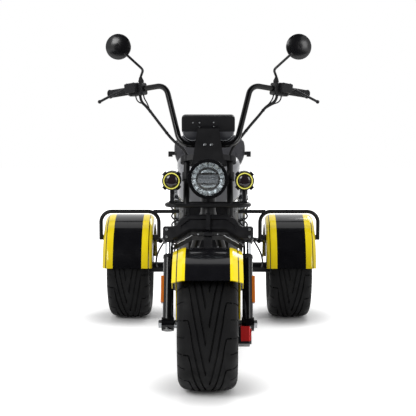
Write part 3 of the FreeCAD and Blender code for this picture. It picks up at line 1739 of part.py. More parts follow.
lean = s.backrest_lean
backrest_height = s.backrest_top - s.backrest_bottom
outline_shares = ((-0.68, 0), (-0.94, 0.32), (-1, 0.66), (-0.98, 0.8), (-0.86, 0.94), (-0.66, 1))
backrest_right = [
    vec(s.backrest_half_width * -wide, 0, backrest_height * up) for wide, up in outline_shares
]
backrest_left = [vec(-corner.x, 0, corner.z) for corner in reversed(backrest_right)]
backrest = slab(backrest_right + backrest_left, y_axis * s.backrest_thickness)
backrest.Placement = FreeCAD.Placement(
    vec(0, s.backrest_front, s.backrest_bottom), FreeCAD.Rotation(x_axis, -lean)
)
feature("passenger_backrest", backrest)

bar_y = s.backrest_front + s.backrest_thickness + s.backrest_set_back
knob_x = s.knob_reach
wing_share = 0.7
knob_y = s.backrest_front + s.backrest_thickness / 2
wing = s.backrest_half_width + s.carrier_radius + s.running_clearance
knob_start = s.backrest_half_width + 2 * s.seat_gap
carrier = []
for side in sides:
    rail_top = vec(side * seat_x, s.seat_rail_rear - s.frame_tube_radius, pan_low)
    carrier.append(rod(rail_top, vec(side * seat_x, bar_y, s.knob_height), s.carrier_radius))
    wing_start = vec(side * wing, bar_y, s.knob_height)
    wing_end = vec(side * wing, knob_y, s.knob_height)
    carrier.append(rod(wing_start, wing_end, s.carrier_radius * wing_share))
    knob_face = vec(side * knob_x, knob_y, s.knob_height)
    carrier.append(rod(vec(side * knob_start, knob_y, s.knob_height), knob_face, s.knob_radius))
plate_face = s.backrest_thickness + s.seat_gap
carrier_plate = box_between(
    vec(-s.carrier_plate_half_width, plate_face, -s.carrier_plate_height / 2),
    vec(
        s.carrier_plate_half_width,
        plate_face + s.carrier_plate_thickness,
        s.carrier_plate_height / 2,
    ),
)
for side in sides:
    rack_hole = Part.makeCylinder(
        s.rack_bolt_radius,
        s.carrier_plate_thickness + 2 * s.overrun,
        vec(side * s.rack_bolt_spread / 2, plate_face - s.overrun, s.rack_bolt_rise),
        y_axis,
    )
    carrier_plate = carrier_plate.cut(rack_hole)
lean_turn = FreeCAD.Rotation(x_axis, -lean)
plate_rise = (s.knob_height - s.backrest_bottom) / math.cos(math.radians(lean))
carrier_plate.Placement = FreeCAD.Placement(
    vec(0, s.backrest_front, s.backrest_bottom) + lean_turn.multVec(z_axis * plate_rise), lean_turn
)
carrier.append(carrier_plate)
wing_reach = s.backrest_half_width + s.carrier_radius
carrier.append(
    rod(vec(-wing_reach, bar_y, s.knob_height), vec(wing_reach, bar_y, s.knob_height), s.carrier_radius)
)
carrier = fused(carrier)
for room in rail_room:
    carrier = carrier.cut(room)
feature("backrest_carrier", carrier)

# Rear axle beam with its motor case, arms and spring legs
axle_point = vec(0, rear_axle_y, wheel_height)
beam_end = wheel_x - s.rear_hub_length / 2 - s.head_tube_gap
spindle_end = wheel_x + s.rear_hub_length / 2 + s.spindle_overhang
beam = [
    rod(axle_point - x_axis * beam_end, axle_point + x_axis * beam_end, s.axle_beam_radius),
    rod(
        axle_point - x_axis * spindle_end, axle_point + x_axis * spindle_end, s.rear_spindle_radius
    ),
]
for side in sides:
    nut_from = wheel_x + s.rear_hub_length / 2 + s.head_tube_gap / 2
    beam.append(
        rod(
            axle_point + x_axis * (side * nut_from),
            axle_point + x_axis * (side * spindle_end),
            s.rear_spindle_radius + s.axle_nut_thickness / 2,
        )
    )
case_half = s.motor_case_length / 2
case_shares = ((-1, 0.5), (-0.8, 0.86), (-0.5, 1), (0.5, 1), (0.8, 0.86), (1, 0.5))
case_profile = [(-case_half, 0)]
case_profile += [(case_half * along, s.motor_case_radius * wide) for along, wide in case_shares]
case_profile.append((case_half, 0))
beam.append(turned(case_profile, axle_point, x_axis))
feature("rear_axle_beam", fused(beam))


def eye(centre, radius, width):
    return rod(centre - x_axis * (width / 2), centre + x_axis * (width / 2), radius)


def link(front, back, radius, front_pin, back_pin, width):
    """A bar with an eye round a pin at each end."""
    ring = s.eye_wall
    whole = fused(
        [
            rod(front, back, radius),
            eye(front, front_pin + ring, width),
            eye(back, back_pin + ring, width),
        ]
    )
    for centre, pin in ((front, front_pin), (back, back_pin)):
        whole = whole.cut(eye(centre, pin + s.seat_gap, width + 2 * s.overrun))
    return whole


arm_front = vec(arm_x, pivot.y, pivot.z)
arm_back = axle_point + x_axis * arm_x
arm = link(
    arm_front, arm_back, s.arm_radius, s.shock_pin_radius, s.axle_beam_radius, s.eye_width
)
group("rear_arms", both_sides(arm))

shock_foot = axle_point + x_axis * shock_x
shock_way = (shock_top - shock_foot).normalize()
shock_length = (shock_top - shock_foot).Length
seat_low_at = s.axle_beam_radius + s.eye_wall + s.spring_wire
seat_high_at = shock_length - s.shock_pin_radius - s.eye_wall - s.spring_wire
body_start = seat_low_at + (seat_high_at - seat_low_at) * s.damper_body_share
damper = link(
    shock_top, shock_foot, s.shock_rod_radius, s.shock_pin_radius, s.axle_beam_radius, s.eye_width
)
damper_parts = [damper]
for start, end, radius in (
    (body_start, seat_high_at, s.shock_body_radius),
    (seat_low_at - s.spring_wire, seat_low_at, s.spring_radius + s.spring_wire),
    (seat_high_at, seat_high_at + s.spring_wire, s.spring_radius + s.spring_wire),
):
    damper_parts.append(rod(shock_foot + shock_way * start, shock_foot + shock_way * end, radius))
damper = fused(damper_parts)
for centre, pin in ((shock_foot, s.axle_beam_radius), (shock_top, s.shock_pin_radius)):
    damper = damper.cut(eye(centre, pin + s.seat_gap, s.eye_width + 2 * s.overrun))
group("rear_dampers", both_sides(damper))
coil_height = seat_high_at - seat_low_at - 2 * s.spring_wire - 2 * s.seat_gap
coil = Part.makeHelix(coil_height / s.spring_turns, coil_height, s.spring_radius)
coil_section = Part.makePolygon(
    [
        vec(s.spring_radius + s.spring_wire * math.cos(turn), 0, s.spring_wire * math.sin(turn))
        for turn in [math.radians(60 * step) for step in range(7)]
    ]
)
spring = Part.Wire(coil.Edges).makePipeShell([coil_section], True, True)
spring.Placement = FreeCAD.Placement(
    shock_foot + shock_way * (seat_low_at + s.spring_wire + s.seat_gap),
    FreeCAD.Rotation(z_axis, shock_way),
)
group("rear_springs", both_sides(spring))

# Guard rails over the rear fenders, with tabs to the fenders' sides and struts to the cradle
rail_corners = [
    vec(s.rail_inner_x, s.rail_plane, s.rail_foot),
    vec(s.rail_inner_x, s.rail_plane, s.rail_height),
    vec(s.rail_outer_x, s.rail_plane, s.rail_height),
    vec(s.rail_outer_x, s.rail_plane, s.rail_foot),
]
guard = tube(rail_corners, s.rail_tube_radius, [s.rail_bend, s.rail_bend])
bridge_end = s.rail_inner_x + s.rail_bend / 2
bridge = rod(
    vec(-bridge_end, s.rail_plane, s.rail_height),
    vec(bridge_end, s.rail_plane, s.rail_height),
    s.rail_bridge_radius,
)
fender_near = wheel_x - s.rear_fender_width / 2
fender_far = wheel_x + s.rear_fender_width / 2
tab_span = s.rail_tube_radius * s.rail_tab_share
tab_inner = box_between(
    vec(s.rail_inner_x, s.rail_plane - tab_span, s.rail_foot),
    vec(fender_near - s.seat_gap, s.rail_plane + tab_span, s.rail_foot + s.rail_tab_height),
)
tab_outer = box_between(
    vec(fender_far + s.seat_gap, s.rail_plane - tab_span, s.rail_foot),
    vec(s.rail_outer_x, s.rail_plane + tab_span, s.rail_foot + s.rail_tab_height),
)
climb = (s.rail_height - s.deck_rail_height) / (s.seat_rail_height - s.deck_rail_height)
cradle_at_rail = cradle_points[2] + (cradle_points[3] - cradle_points[2]) * climb
strut = rod(
    cradle_at_rail,
    vec(cradle_at_rail.x, s.rail_plane, s.rail_height),
    s.rail_tube_radius * s.rail_brace_share,
)
cradle_room = rod(cradle_points[2], cradle_points[3], s.frame_tube_radius + s.seat_gap)
strut = strut.cut(cradle_room)
rails = both_sides(guard) + both_sides(tab_inner) + both_sides(tab_outer) + both_sides(strut)
feature("guard_rails", fused([bridge] + rails))

# Rear bar between the fenders, with the tail lamps on it
lamp_back = rear_end
bar_back_y = lamp_back - s.tail_lamp_depth - s.seat_gap - s.rear_bar_radius
rear_corners = [
    vec(s.rear_bar_half_width, s.rear_bar_foot, s.rear_bar_height),
    vec(s.rear_bar_half_width, bar_back_y, s.rear_bar_height),
    vec(0, bar_back_y, s.rear_bar_height),
]
rear_bar = tube(rear_corners, s.rear_bar_radius, [s.rear_bar_bend])
rear_tab = box_between(
    vec(s.rear_bar_half_width, s.rear_bar_foot, s.rear_bar_height - s.rear_bar_radius / 2),
    vec(
        fender_near - s.seat_gap,
        s.rear_bar_foot + 2 * s.rear_bar_radius,
        s.rear_bar_height + s.rear_bar_radius / 2,
    ),
)
strut_top = vec(seat_x, s.seat_rail_rear, s.seat_rail_height)
strut_foot = vec(seat_x, bar_back_y, s.rear_bar_height)
tail_strut = rod(strut_top, strut_foot, s.rear_bar_radius * s.tail_strut_share)
for room in rail_room:
    tail_strut = tail_strut.cut(room)
feature("rear_bar", fused(both_sides(rear_bar) + both_sides(rear_tab) + both_sides(tail_strut)))
tail_profile = [
    (0, 0),
    (0, s.tail_lamp_radius),
    (s.tail_lamp_depth * s.tail_lamp_rim_share, s.tail_lamp_radius),
    (s.tail_lamp_depth, s.tail_lamp_radius * s.tail_lamp_face_share),
    (s.tail_lamp_depth, 0),
]
tail_lamp = turned(
    tail_profile,
    vec(s.tail_lamp_spread / 2, lamp_back - s.tail_lamp_depth, s.rear_bar_height),
    y_axis,
)
group("tail_lamps", both_sides(tail_lamp))

# Brake hoses from the cradle down to the axle beam
hose_side = [
    (123, -205.5, 261.5),
    (165, -226.5, 213.5),
    (206, -250.5, 158.5),
    (238, -244.5, 103.5),
    (248, -190.5, 57.5),
    (250, -116.5, 23.5),
]
rear_axle_middle = vec(0, rear_axle_y, wheel_height)
hose_route = [rear_axle_middle + vec(*place) for place in hose_side]
beam_centre = vec(hose_route[-1].x, rear_axle_y, wheel_height)
to_beam = (beam_centre - hose_route[-1]).normalize()
hose_route.append(beam_centre - to_beam * (s.axle_beam_radius + s.seat_gap))
hose = cord(hose_route, s.hose_radius)
group("brake_hoses", both_sides(hose))

doc.recompute()
names = [piece.Label for piece in nodes]
if len(set(names)) != len(names):
    raise ValueError("two sub-parts share a label")
for item in doc.Objects:
    if "Invalid" in item.State or "Error" in item.State:
        raise ValueError("%s failed" % item.Label)
for piece in nodes:
    if piece.Shape.isNull() or not piece.Shape.isValid():
        raise ValueError("%s has no valid shape" % piece.Label)
os.makedirs("parts", exist_ok=True)
for piece in nodes:
    piece.Shape.exportStep("parts/%s.step" % piece.Label)
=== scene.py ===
import math

import bpy
from mathutils import Matrix, Vector


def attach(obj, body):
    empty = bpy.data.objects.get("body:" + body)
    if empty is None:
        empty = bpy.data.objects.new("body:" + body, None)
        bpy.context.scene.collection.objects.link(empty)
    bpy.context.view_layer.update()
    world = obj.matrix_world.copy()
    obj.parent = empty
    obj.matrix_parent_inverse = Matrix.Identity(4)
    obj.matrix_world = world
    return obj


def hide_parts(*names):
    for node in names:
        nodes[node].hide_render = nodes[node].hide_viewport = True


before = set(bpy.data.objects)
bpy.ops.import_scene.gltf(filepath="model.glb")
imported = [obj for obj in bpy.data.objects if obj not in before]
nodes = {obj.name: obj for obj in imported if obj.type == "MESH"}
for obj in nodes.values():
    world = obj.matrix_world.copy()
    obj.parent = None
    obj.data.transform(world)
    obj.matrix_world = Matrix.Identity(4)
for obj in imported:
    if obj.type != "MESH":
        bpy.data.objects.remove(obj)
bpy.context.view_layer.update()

hands = (("Left", 1), ("Right", -1))  # each side's name, and the sign of its x
wheelRadius = 0.2385
frontAxle = Vector((0, -0.7115, wheelRadius))
rearAxles = {hand: Vector((sign * 0.379, 0.6465, wheelRadius)) for hand, sign in hands}
rake = math.radians(25)
forward = (0, -1, 0)


def onFork(across, along):  # a point beside the fork's middle line, measured up from the axle
    return Vector((across, frontAxle.y + along * math.sin(rake), wheelRadius + along * math.cos(rake)))


def turns(count, closed=False):  # even angles round a circle, and the first again at the end when closed
    return [2 * math.pi * step / count for step in range(count + closed)]


def colour(code):  # an sRGB hex value as a linear colour
    parts = [int(code[i:i + 2], 16) / 255 for i in (1, 3, 5)]
    return tuple(p / 12.92 if p <= 0.04045 else ((p + 0.055) / 1.055) ** 2.4 for p in parts) + (1,)


def addNode(tree, kind, settings):  # an output is linked to its socket, a hex value or number is set on it
    node = tree.nodes.new("ShaderNode" + kind)
    for key, value in settings.items():
        if isinstance(key, str) and key[0].islower():
            setattr(node, key, value)
        elif isinstance(value, bpy.types.NodeSocket):
            tree.links.new(value, node.inputs[key])
        else:
            node.inputs[key].default_value = colour(value) if isinstance(value, str) else value
    return node


def calculate(tree, operation, *values):
    return addNode(tree, "Math", {"operation": operation, **dict(enumerate(values))}).outputs[0]


def mixColours(tree, share, first, second):
    return addNode(tree, "Mix", {"data_type": "RGBA", 0: share, 6: first, 7: second}).outputs[2]


def objectPlace(tree):
    return addNode(tree, "TexCoord", {}).outputs["Object"]


def startFinish(name, settings):
    finish = bpy.data.materials.new(name)
    finish.use_nodes = True
    shader = finish.node_tree.nodes["Principled BSDF"]
    for socket, value in settings.items():
        shader.inputs[socket].default_value = value
    return finish, finish.node_tree, shader


def noise(tree, place, size, detail=2.0, roughness=0.5):  # size in mm
    return addNode(tree, "TexNoise", {"Scale": 1000 / size, "Detail": detail, "Roughness": roughness,
                                      "Vector": place}).outputs["Fac"]


def spread(tree, value, low, high, start=0, end=1, **settings):  # low at the start and high at the end
    return addNode(tree, "MapRange", {"Value": value, "From Min": start, "From Max": end, "To Min": low,
                                      "To Max": high, **settings}).outputs[0]


def linkSurface(tree, shader, paint, polish, height, strength, depth):  # depth in mm
    relief = addNode(tree, "Bump", {"Strength": strength, "Distance": depth / 1000, "Height": height})
    for socket, value in (("Base Color", paint), ("Roughness", polish), ("Normal", relief.outputs[0])):
        tree.links.new(value, shader.inputs[socket])


def addObject(name, data):
    made = bpy.data.objects.new(name, data)
    bpy.context.scene.collection.objects.link(made)
    return made


def coat(piece, finish):
    piece.data.materials.clear()
    piece.data.materials.append(finish)


def dress(piece, finish, slot, body, node=None):
    coat(piece, finish)
    if node:
        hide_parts(node)
    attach(piece, body)


def leaveEdit():
    bpy.ops.object.mode_set(mode="OBJECT")


def deselect():
    if bpy.context.object and bpy.context.object.mode != "OBJECT":
        leaveEdit()
    bpy.ops.object.select_all(action="DESELECT")


def makeActive(piece):
    deselect()
    piece.select_set(True)
    bpy.context.view_layer.objects.active = piece


def selectAll(piece):
    makeActive(piece)
    bpy.ops.object.mode_set(mode="EDIT")
    bpy.ops.mesh.select_all(action="SELECT")


def selectFaces(piece, test):
    makeActive(piece)
    bpy.ops.object.mode_set(mode="EDIT")
    bpy.ops.mesh.select_all(action="DESELECT")
    leaveEdit()
    for face in piece.data.polygons:
        face.select = test(face)
    bpy.ops.object.mode_set(mode="EDIT")
    bpy.ops.mesh.select_mode(type="FACE")


def cutFaces(piece, test):
    selectFaces(piece, test)
    bpy.ops.mesh.delete(type="FACE")
    leaveEdit()


def smoothUpTo(degrees):
    bpy.ops.object.shade_smooth_by_angle(angle=math.radians(degrees))


def closeMesh(piece, weld, smooth):  # join the seam, turn the faces outward, smooth up to an angle
    selectAll(piece)
    bpy.ops.mesh.remove_doubles(threshold=weld / 1000)
    bpy.ops.mesh.normals_make_consistent(inside=False)
    leaveEdit()
    smoothUpTo(smooth)


def applyModifier(piece, kind, **settings):
    made = piece.modifiers.new(kind.lower(), kind)
    for key, value in settings.items():
        setattr(made, key, value)
    bpy.ops.object.modifier_apply(modifier=made.name)


def joinPieces(name, pieces):
    makeActive(pieces[0])
    for piece in pieces:
        piece.select_set(True)
    bpy.ops.object.join()
    joined = bpy.context.view_layer.objects.active
    joined.name = name
    return joined


def gridPiece(name, columns, rows, place):  # place gives a mesh point's position from its column and row
    deselect()
    bpy.ops.mesh.primitive_grid_add(x_subdivisions=columns, y_subdivisions=rows, size=2, location=(0, 0, 0))
    piece = bpy.context.object
    piece.name = name
    for vertex in piece.data.vertices:
        vertex.co = place(round((vertex.co.x + 1) / 2 * columns), round((vertex.co.y + 1) / 2 * rows))
    return piece


def modelPlate(name, columns, rows, thickness, place):  # a curved plate; place(u, v) gives a point in metres
    plate = gridPiece(name, columns, rows, lambda column, row: place(column / columns, row / rows))
    if thickness:
        applyModifier(plate, "SOLIDIFY", thickness=thickness / 1000)
    return plate


# Turned pieces: a profile of (radius, along) in mm, swept round a line from its start
def modelTurned(name, profile, start, way, sides, ripple=None):
    turn = Vector(way).to_track_quat("Z", "Y").to_matrix()

    def place(column, row):
        radius, along = profile[row]
        angle = 2 * math.pi * column / sides
        if ripple:
            radius += ripple(angle, along, radius)
        around = Vector((radius * math.cos(angle), radius * math.sin(angle), along))
        return Vector(start) + turn @ around / 1000

    piece = gridPiece(name, sides, len(profile) - 1, place)
    closeMesh(piece, 0.03, 30)
    return piece


def dressTurned(name, profile, starts, way, sides, finish, slot, body, node=None):  # one copy at each start
    pieces = [modelTurned(name, profile, start, way, sides) for start in starts]
    dress(joinPieces(name, pieces), finish, slot, body, node)


def wireSection(radius, wire, level, sides):  # the profile of a round wire bent to a ring
    return [(radius + wire * math.cos(turn), level + wire * math.sin(turn))
            for turn in turns(sides, closed=True)]


def drawCurve(name, kind, points, radius, roundness, steps=12, closed=False):
    curve = bpy.data.curves.new(name, "CURVE")
    curve.dimensions = "3D"
    curve.bevel_depth = radius
    curve.bevel_resolution = roundness
    curve.resolution_u = steps
    curve.use_fill_caps = not closed
    spline = curve.splines.new(kind)
    spline.points.add(len(points) - 1)
    for point, place in zip(spline.points, points):
        point.co = (*place, 1)
    spline.order_u = 4 if closed else 3
    spline.use_cyclic_u = closed
    spline.use_endpoint_u = not closed
    return addObject(name, curve)


def curveMesh(piece):
    makeActive(piece)
    bpy.ops.object.convert(target="MESH")
    return bpy.context.view_layer.objects.active


# Finishes. base and tone are the colours of the patches, and smoothest and roughest their roughness.
# patch, grain and depth are the size of the patches, of the surface's grain and its depth, in mm.
shaderSockets = {"specular": "Specular IOR Level", "metal": "Metallic", "coatWeight": "Coat Weight",
                 "coatRough": "Coat Roughness", "clear": "Transmission Weight", "ior": "IOR"}


def texturedFinish(name, base, tone, patch, grain, depth, smoothest, roughest, **extra):
    finish, tree, shader = startFinish(name, {shaderSockets[key]: value for key, value in extra.items()})
    place = objectPlace(tree)
    patches = noise(tree, place, patch, 3.0, 0.6)
    paint = mixColours(tree, patches, base, tone)
    polish = spread(tree, patches, smoothest, roughest, 0.3, 0.7)
    linkSurface(tree, shader, paint, polish, noise(tree, place, grain), 0.5, depth)
    return finish


# Camera: the photograph's viewpoint, fitted to the three tyres
view = {"lens": 95.1, "sensor": 36, "place": (0.024, -4.6085, 1.0405), "aim": (-0.0060, 1, -0.0981)}
cameraData = bpy.data.cameras.new("camera")
cameraData.lens = view["lens"]
cameraData.sensor_width = view["sensor"]
camera = addObject("camera", cameraData)
camera.location = view["place"]
camera.rotation_euler = Vector(view["aim"]).to_track_quat("-Z", "Y").to_euler()
bpy.context.scene.camera = camera
bpy.context.scene.view_settings.view_transform = "Standard"

# White studio: the camera, gloss and glass see white, and the floor keeps the shadow
studio = {
    "worldLight": 0.62, "floorGlow": 0.32, "floorBounce": 0.3,
    "glowNear": 1.6, "glowFar": 4.5,  # m from the middle, from where the floor glows as the background does
    "paintedShadowNear": 0.1, "paintedShadowFar": 0.34,  # m from the foot of a tyre
    "planes": {"studioFloor": ((0, 0, 0), 0, (12, 12)), "floorCard": ((0, -4.4, 0.004), 0, (4.2, 2.4)),
               "wallCard": ((0, -6.8, 3.5), 90, (4.2, 3.5)), "ceilingCard": ((0, -2.5, 7), 0, (4.2, 4.3)),
               "bandCard": ((0, 5.1, 7), 0, (4.2, 0.4))},  # place, turn in degrees, half sizes
    "boxes": {"keyBox": ((-2.4, -3.6, 3.0), (0, -0.3, 0.6), 1.8, 100),
              "fillBox": ((3.0, -3.4, 2.0), (0, -0.3, 0.6), 1.8, 48),
              "topBox": ((0.2, 0.2, 4.0), (0, 0, 0.4), 2.4, 60),
              "backBox": ((1.6, 3.6, 2.6), (0, 0.4, 0.6), 1.6, 34)},  # place, aim, size, watts
}


def shownRays(tree, path):  # 1 for the rays of the camera, gloss and glass, 0 for the light's own
    seen = calculate(tree, "ADD", path.outputs["Is Camera Ray"], path.outputs["Is Glossy Ray"])
    return calculate(tree, "ADD", seen, path.outputs["Is Transmission Ray"])


def rise(tree, distance, near, far, least):  # from least to 1 between two distances
    return spread(tree, distance, least, 1, near, far, interpolation_type="SMOOTHSTEP")


world = bpy.data.worlds.new("studio")
bpy.context.scene.world = world
world.use_nodes = True
tree = world.node_tree
background = tree.nodes["Background"]
level = spread(tree, shownRays(tree, addNode(tree, "LightPath", {})), studio["worldLight"], 1)
background.inputs["Color"].default_value = (1, 1, 1, 1)
tree.links.new(level, background.inputs["Strength"])

floorFinish, tree, shader = startFinish("matt white studio paper", {
    "Roughness": 1.0, "Specular IOR Level": 0.0, "Emission Color": (1, 1, 1, 1)})
path = addNode(tree, "LightPath", {})
reach = addNode(tree, "VectorMath", {"operation": "LENGTH", 0: objectPlace(tree)}).outputs["Value"]
glow = calculate(tree, "MULTIPLY", shownRays(tree, path),
                 rise(tree, reach, studio["glowNear"], studio["glowFar"], studio["floorGlow"]))
# Painted shadow: no glow where a tyre stands, fading back in away from its foot, so the floor there is darker
# than its real contact shadow alone would make it
for axle in (frontAxle, *rearAxles.values()):
    foot = (axle.x, axle.y, 0)
    away = addNode(tree, "VectorMath", {"operation": "DISTANCE", 0: objectPlace(tree), 1: foot})
    clear = rise(tree, away.outputs["Value"], studio["paintedShadowNear"], studio["paintedShadowFar"], 0)
    glow = calculate(tree, "MULTIPLY", glow, clear)
# The paper throws back less light than it shows, so the undersides stay dark
bounce = spread(tree, path.outputs["Is Diffuse Ray"], 1, studio["floorBounce"])
tree.links.new(bounce, shader.inputs["Base Color"])
tree.links.new(glow, shader.inputs["Emission Strength"])

# Black cards round the camera: only gloss shows them
cardFinish = texturedFinish("black studio cloth", "#020202", "#040404", 400, 40, 0.1, 0.9, 1, specular=0)
for name, (place, turn, half) in studio["planes"].items():
    deselect()
    bpy.ops.mesh.primitive_plane_add(size=2, location=place, rotation=(math.radians(turn), 0, 0))
    plane = bpy.context.object
    plane.name = name
    plane.scale = (*half, 1)
    bpy.ops.object.transform_apply(location=True, rotation=True, scale=True)
    isFloor = name == "studioFloor"
    coat(plane, floorFinish if isFloor else cardFinish)
    for rays in ("camera", "diffuse", "transmission", "shadow"):
        setattr(plane, "visible_" + rays, isFloor)

for name, (place, aim, size, power) in studio["boxes"].items():
    lamp = bpy.data.lights.new(name, "AREA")
    lamp.shape = "SQUARE"
    lamp.size = size
    lamp.energy = power
    holder = addObject(name, lamp)
    holder.location = place
    holder.visible_glossy = name != "topBox"
    holder.rotation_euler = (Vector(aim) - Vector(place)).to_track_quat("-Z", "Y").to_euler()
print("studio ready")

# Powder-coated steel: sprayed and baked, so an even satin skin with a faint orange peel
powderCoat = texturedFinish("powder-coated steel", "#0F0F10", "#161618", 60, 1.6, 0.12, 0.32, 0.46,
    specular=0.22)
# Gloss-painted steel: sprayed wet, a deeper black than the powder coat, with long soft waves
glossSteel = texturedFinish("gloss-painted steel", "#08080A", "#0D0D0F", 90, 14, 0.1, 0.2, 0.3, specular=0.2,
    coatWeight=0.18, coatRough=0.12)
# Cast and painted iron or aluminium: a fine pebbled skin under satin paint
castPaint = texturedFinish("painted sand casting", "#101012", "#18181B", 35, 1.1, 0.22, 0.3, 0.46,
    specular=0.22)
# Cast alloy wheel, shot-blasted and painted gloss black
wheelPaint = texturedFinish("painted cast alloy", "#141416", "#1F1F22", 45, 1.4, 0.15, 0.2, 0.34,
    specular=0.35)
# Hard chrome on ground tube: a near mirror with very fine marks
chromeTube = texturedFinish("hard chrome plate", "#D8DADC", "#C4C7CA", 25, 0.8, 0.02, 0.06, 0.12, metal=1.0)
# Zinc-plated steel: a dull silver with slightly uneven tone
zincSteel = texturedFinish("zinc-plated steel", "#A9ABAD", "#8C8F92", 12, 0.9, 0.06, 0.26, 0.42, metal=1.0)
# Brake steel, ground flat and swept bright by the pads
groundSteel = texturedFinish("ground brake steel", "#A4A6A8", "#8B8E91", 30, 0.5, 0.04, 0.22, 0.34, metal=1.0)
# Bare edge that the shears left on a painted plate, pale so that it also stands as a painted highlight along
# the edge
edgeHighlight = texturedFinish("bare edge, painted highlight", "#C4C6C8", "#8F9194", 7, 0.8, 0.1, 0.45, 0.6, metal=0.25)
# Handlebar: enamel baked on drawn tube, darker than the rails
barEnamel = texturedFinish("baked bar enamel", "#060607", "#0B0B0C", 60, 9, 0.06, 0.12, 0.2, specular=0.28)
# Moulded ABS with a spark-eroded grain, for the dash, control blocks and casings
mouldedBlack = texturedFinish("grained ABS", "#0E0E10", "#151518", 40, 0.9, 0.3, 0.4, 0.54, specular=0.2)
# ABS from a polished mould, for the lamp and mirror shells
glossBlack = texturedFinish("gloss ABS", "#0B0B0D", "#121214", 70, 18, 0.12, 0.17, 0.26, specular=0.42)
# Dyed ABS, grained by its mould: grey for cups and buttons, pale for rims and marks
cupFinish = texturedFinish("grey moulded ABS", "#2B2C30", "#3A3B40", 20, 0.9, 0.15, 0.3, 0.42)
rimFinish = texturedFinish("pale moulded ABS", "#8F9296", "#A6A9AD", 9, 0.9, 0.1, 0.3, 0.42)
# Painted tank cover: grey basecoat with a fine fleck under clear lacquer
tankPaint = texturedFinish("lacquered grey paint", "#7C7D81", "#8A8B8F", 1.2, 22, 0.15, 0.3, 0.42,
    metal=0.05, specular=0.35, coatWeight=0.25, coatRough=0.16)
# Dark pressed floor plate, brushed and anodised
deckPlate = texturedFinish("dark anodised floor plate", "#2A2B2D", "#37383B", 50, 1.2, 0.2, 0.4, 0.6,
    specular=0.3, metal=0.5)
# Acrylic, moulded with prisms behind the face of a reflector or lamp
amberAcrylic = texturedFinish("amber acrylic", "#D9791F", "#B4560F", 5, 3.0, 0.5, 0.12, 0.22)
redAcrylic = texturedFinish("red acrylic", "#A3100E", "#7C0808", 7, 3.5, 0.5, 0.1, 0.2)
yellowAcrylic = texturedFinish("pale yellow acrylic", "#F2EF7A", "#E4DC52", 8, 2.5, 0.1, 0.2, 0.3)
# Clear polycarbonate lens, drawn opaque: its dark colour is painted shade, the unlit lamp seen through it
spotLens = texturedFinish("spot lens, painted shade inside", "#1A1417", "#2A2226", 9, 3, 0.3, 0.05, 0.1)
# Clear polycarbonate, hard-coated: faint moulding waves, almost no haze
clearLens = texturedFinish("hard-coated polycarbonate", "#FFFFFF", "#F6FAFC", 60, 22, 0.03, 0.0, 0.02,
    clear=1.0, ior=1.3)
# Lamp inners: aluminium vapour on moulded facets, matt black paint, and a smoked band. The aluminium's colour
# is painted shade: darkened, with near-black speckle, to stand in for the dark and speckled reflections of
# the bowl
metallised = texturedFinish("metallised reflector, painted dark speckle", "#8E9497", "#1B1E20", 4.5, 2.2, 0.6, 0.03, 0.12,
    metal=1.0)
lampInside = texturedFinish("matt black lamp inner", "#0C0C0E", "#141416", 14, 0.8, 0.1, 0.4, 0.55,
    specular=0.3)
bandFinish = texturedFinish("smoked lamp band", "#2E3134", "#4A4E52", 6, 2.0, 0.4, 0.12, 0.24, metal=0.6)
# Glass silvered on its back
mirrorGlass = texturedFinish("silvered glass", "#A7B2B8", "#9DA9B0", 80, 40, 0.05, 0.01, 0.03, metal=1.0)
# Moulded rubber of the grips, hoses and cable sheaths
softRubber = texturedFinish("moulded rubber", "#121213", "#1C1C1E", 18, 1.0, 0.15, 0.5, 0.7, specular=0.2)
# Tread rubber: cured in an engraved mould, matt with a grey bloom
tyreRubber = texturedFinish("cured tread rubber", "#0B0B0C", "#121213", 40, 1.3, 0.25, 0.5, 0.74,
    specular=0.14)
# Twisted nylon, bonded so that it does not fray
threadFinish = texturedFinish("bonded nylon thread", "#55565A", "#3E3F43", 2, 0.6, 0.1, 0.5, 0.65)

# Caliper: red dye in the oxide over a milled body. Only its outer, upper half is red, as in the
# photograph, and its bracket and lower half are black.
redAnodised = texturedFinish("red anodised aluminium", "#D0201F", "#A81618", 22, 1.0, 0.08, 0.28, 0.42,
    metal=0.35)
caliper = {"redAbove": 0.199, "redBeyond": 0.117, "black": "#111113"}
tree = redAnodised.node_tree
paint = tree.nodes["Principled BSDF"].inputs["Base Color"]
parts = addNode(tree, "SeparateXYZ", {0: objectPlace(tree)})
high = calculate(tree, "GREATER_THAN", parts.outputs["Z"], caliper["redAbove"])
outer = calculate(tree, "GREATER_THAN", parts.outputs["X"], caliper["redBeyond"])
red = calculate(tree, "MULTIPLY", high, outer)
tree.links.new(mixColours(tree, red, caliper["black"], paint.links[0].from_socket), paint)


# Seat covers: PVC leathercloth with an embossed hide grain
def leatherFinish(name, base, tone):
    finish, tree, shader = startFinish(name, {
        "Specular IOR Level": 0.3, "Sheen Weight": 0.03, "Sheen Roughness": 0.5})
    place = objectPlace(tree)
    hide = addNode(tree, "TexVoronoi", {"feature": "DISTANCE_TO_EDGE", "Scale": 1000 / 2.6, "Vector": place})
    pores = spread(tree, hide.outputs["Distance"], 0, 1, 0, 0.12)
    patches = noise(tree, place, 55, 4.0)
    polish = spread(tree, patches, 0.38, 0.58)
    linkSurface(tree, shader, mixColours(tree, patches, base, tone), polish, pores, 0.45, 0.4)
    return finish


seatCover = leatherFinish("black leathercloth", "#111113", "#18181A")
backCover = leatherFinish("dark grey leathercloth", "#29292D", "#343439")


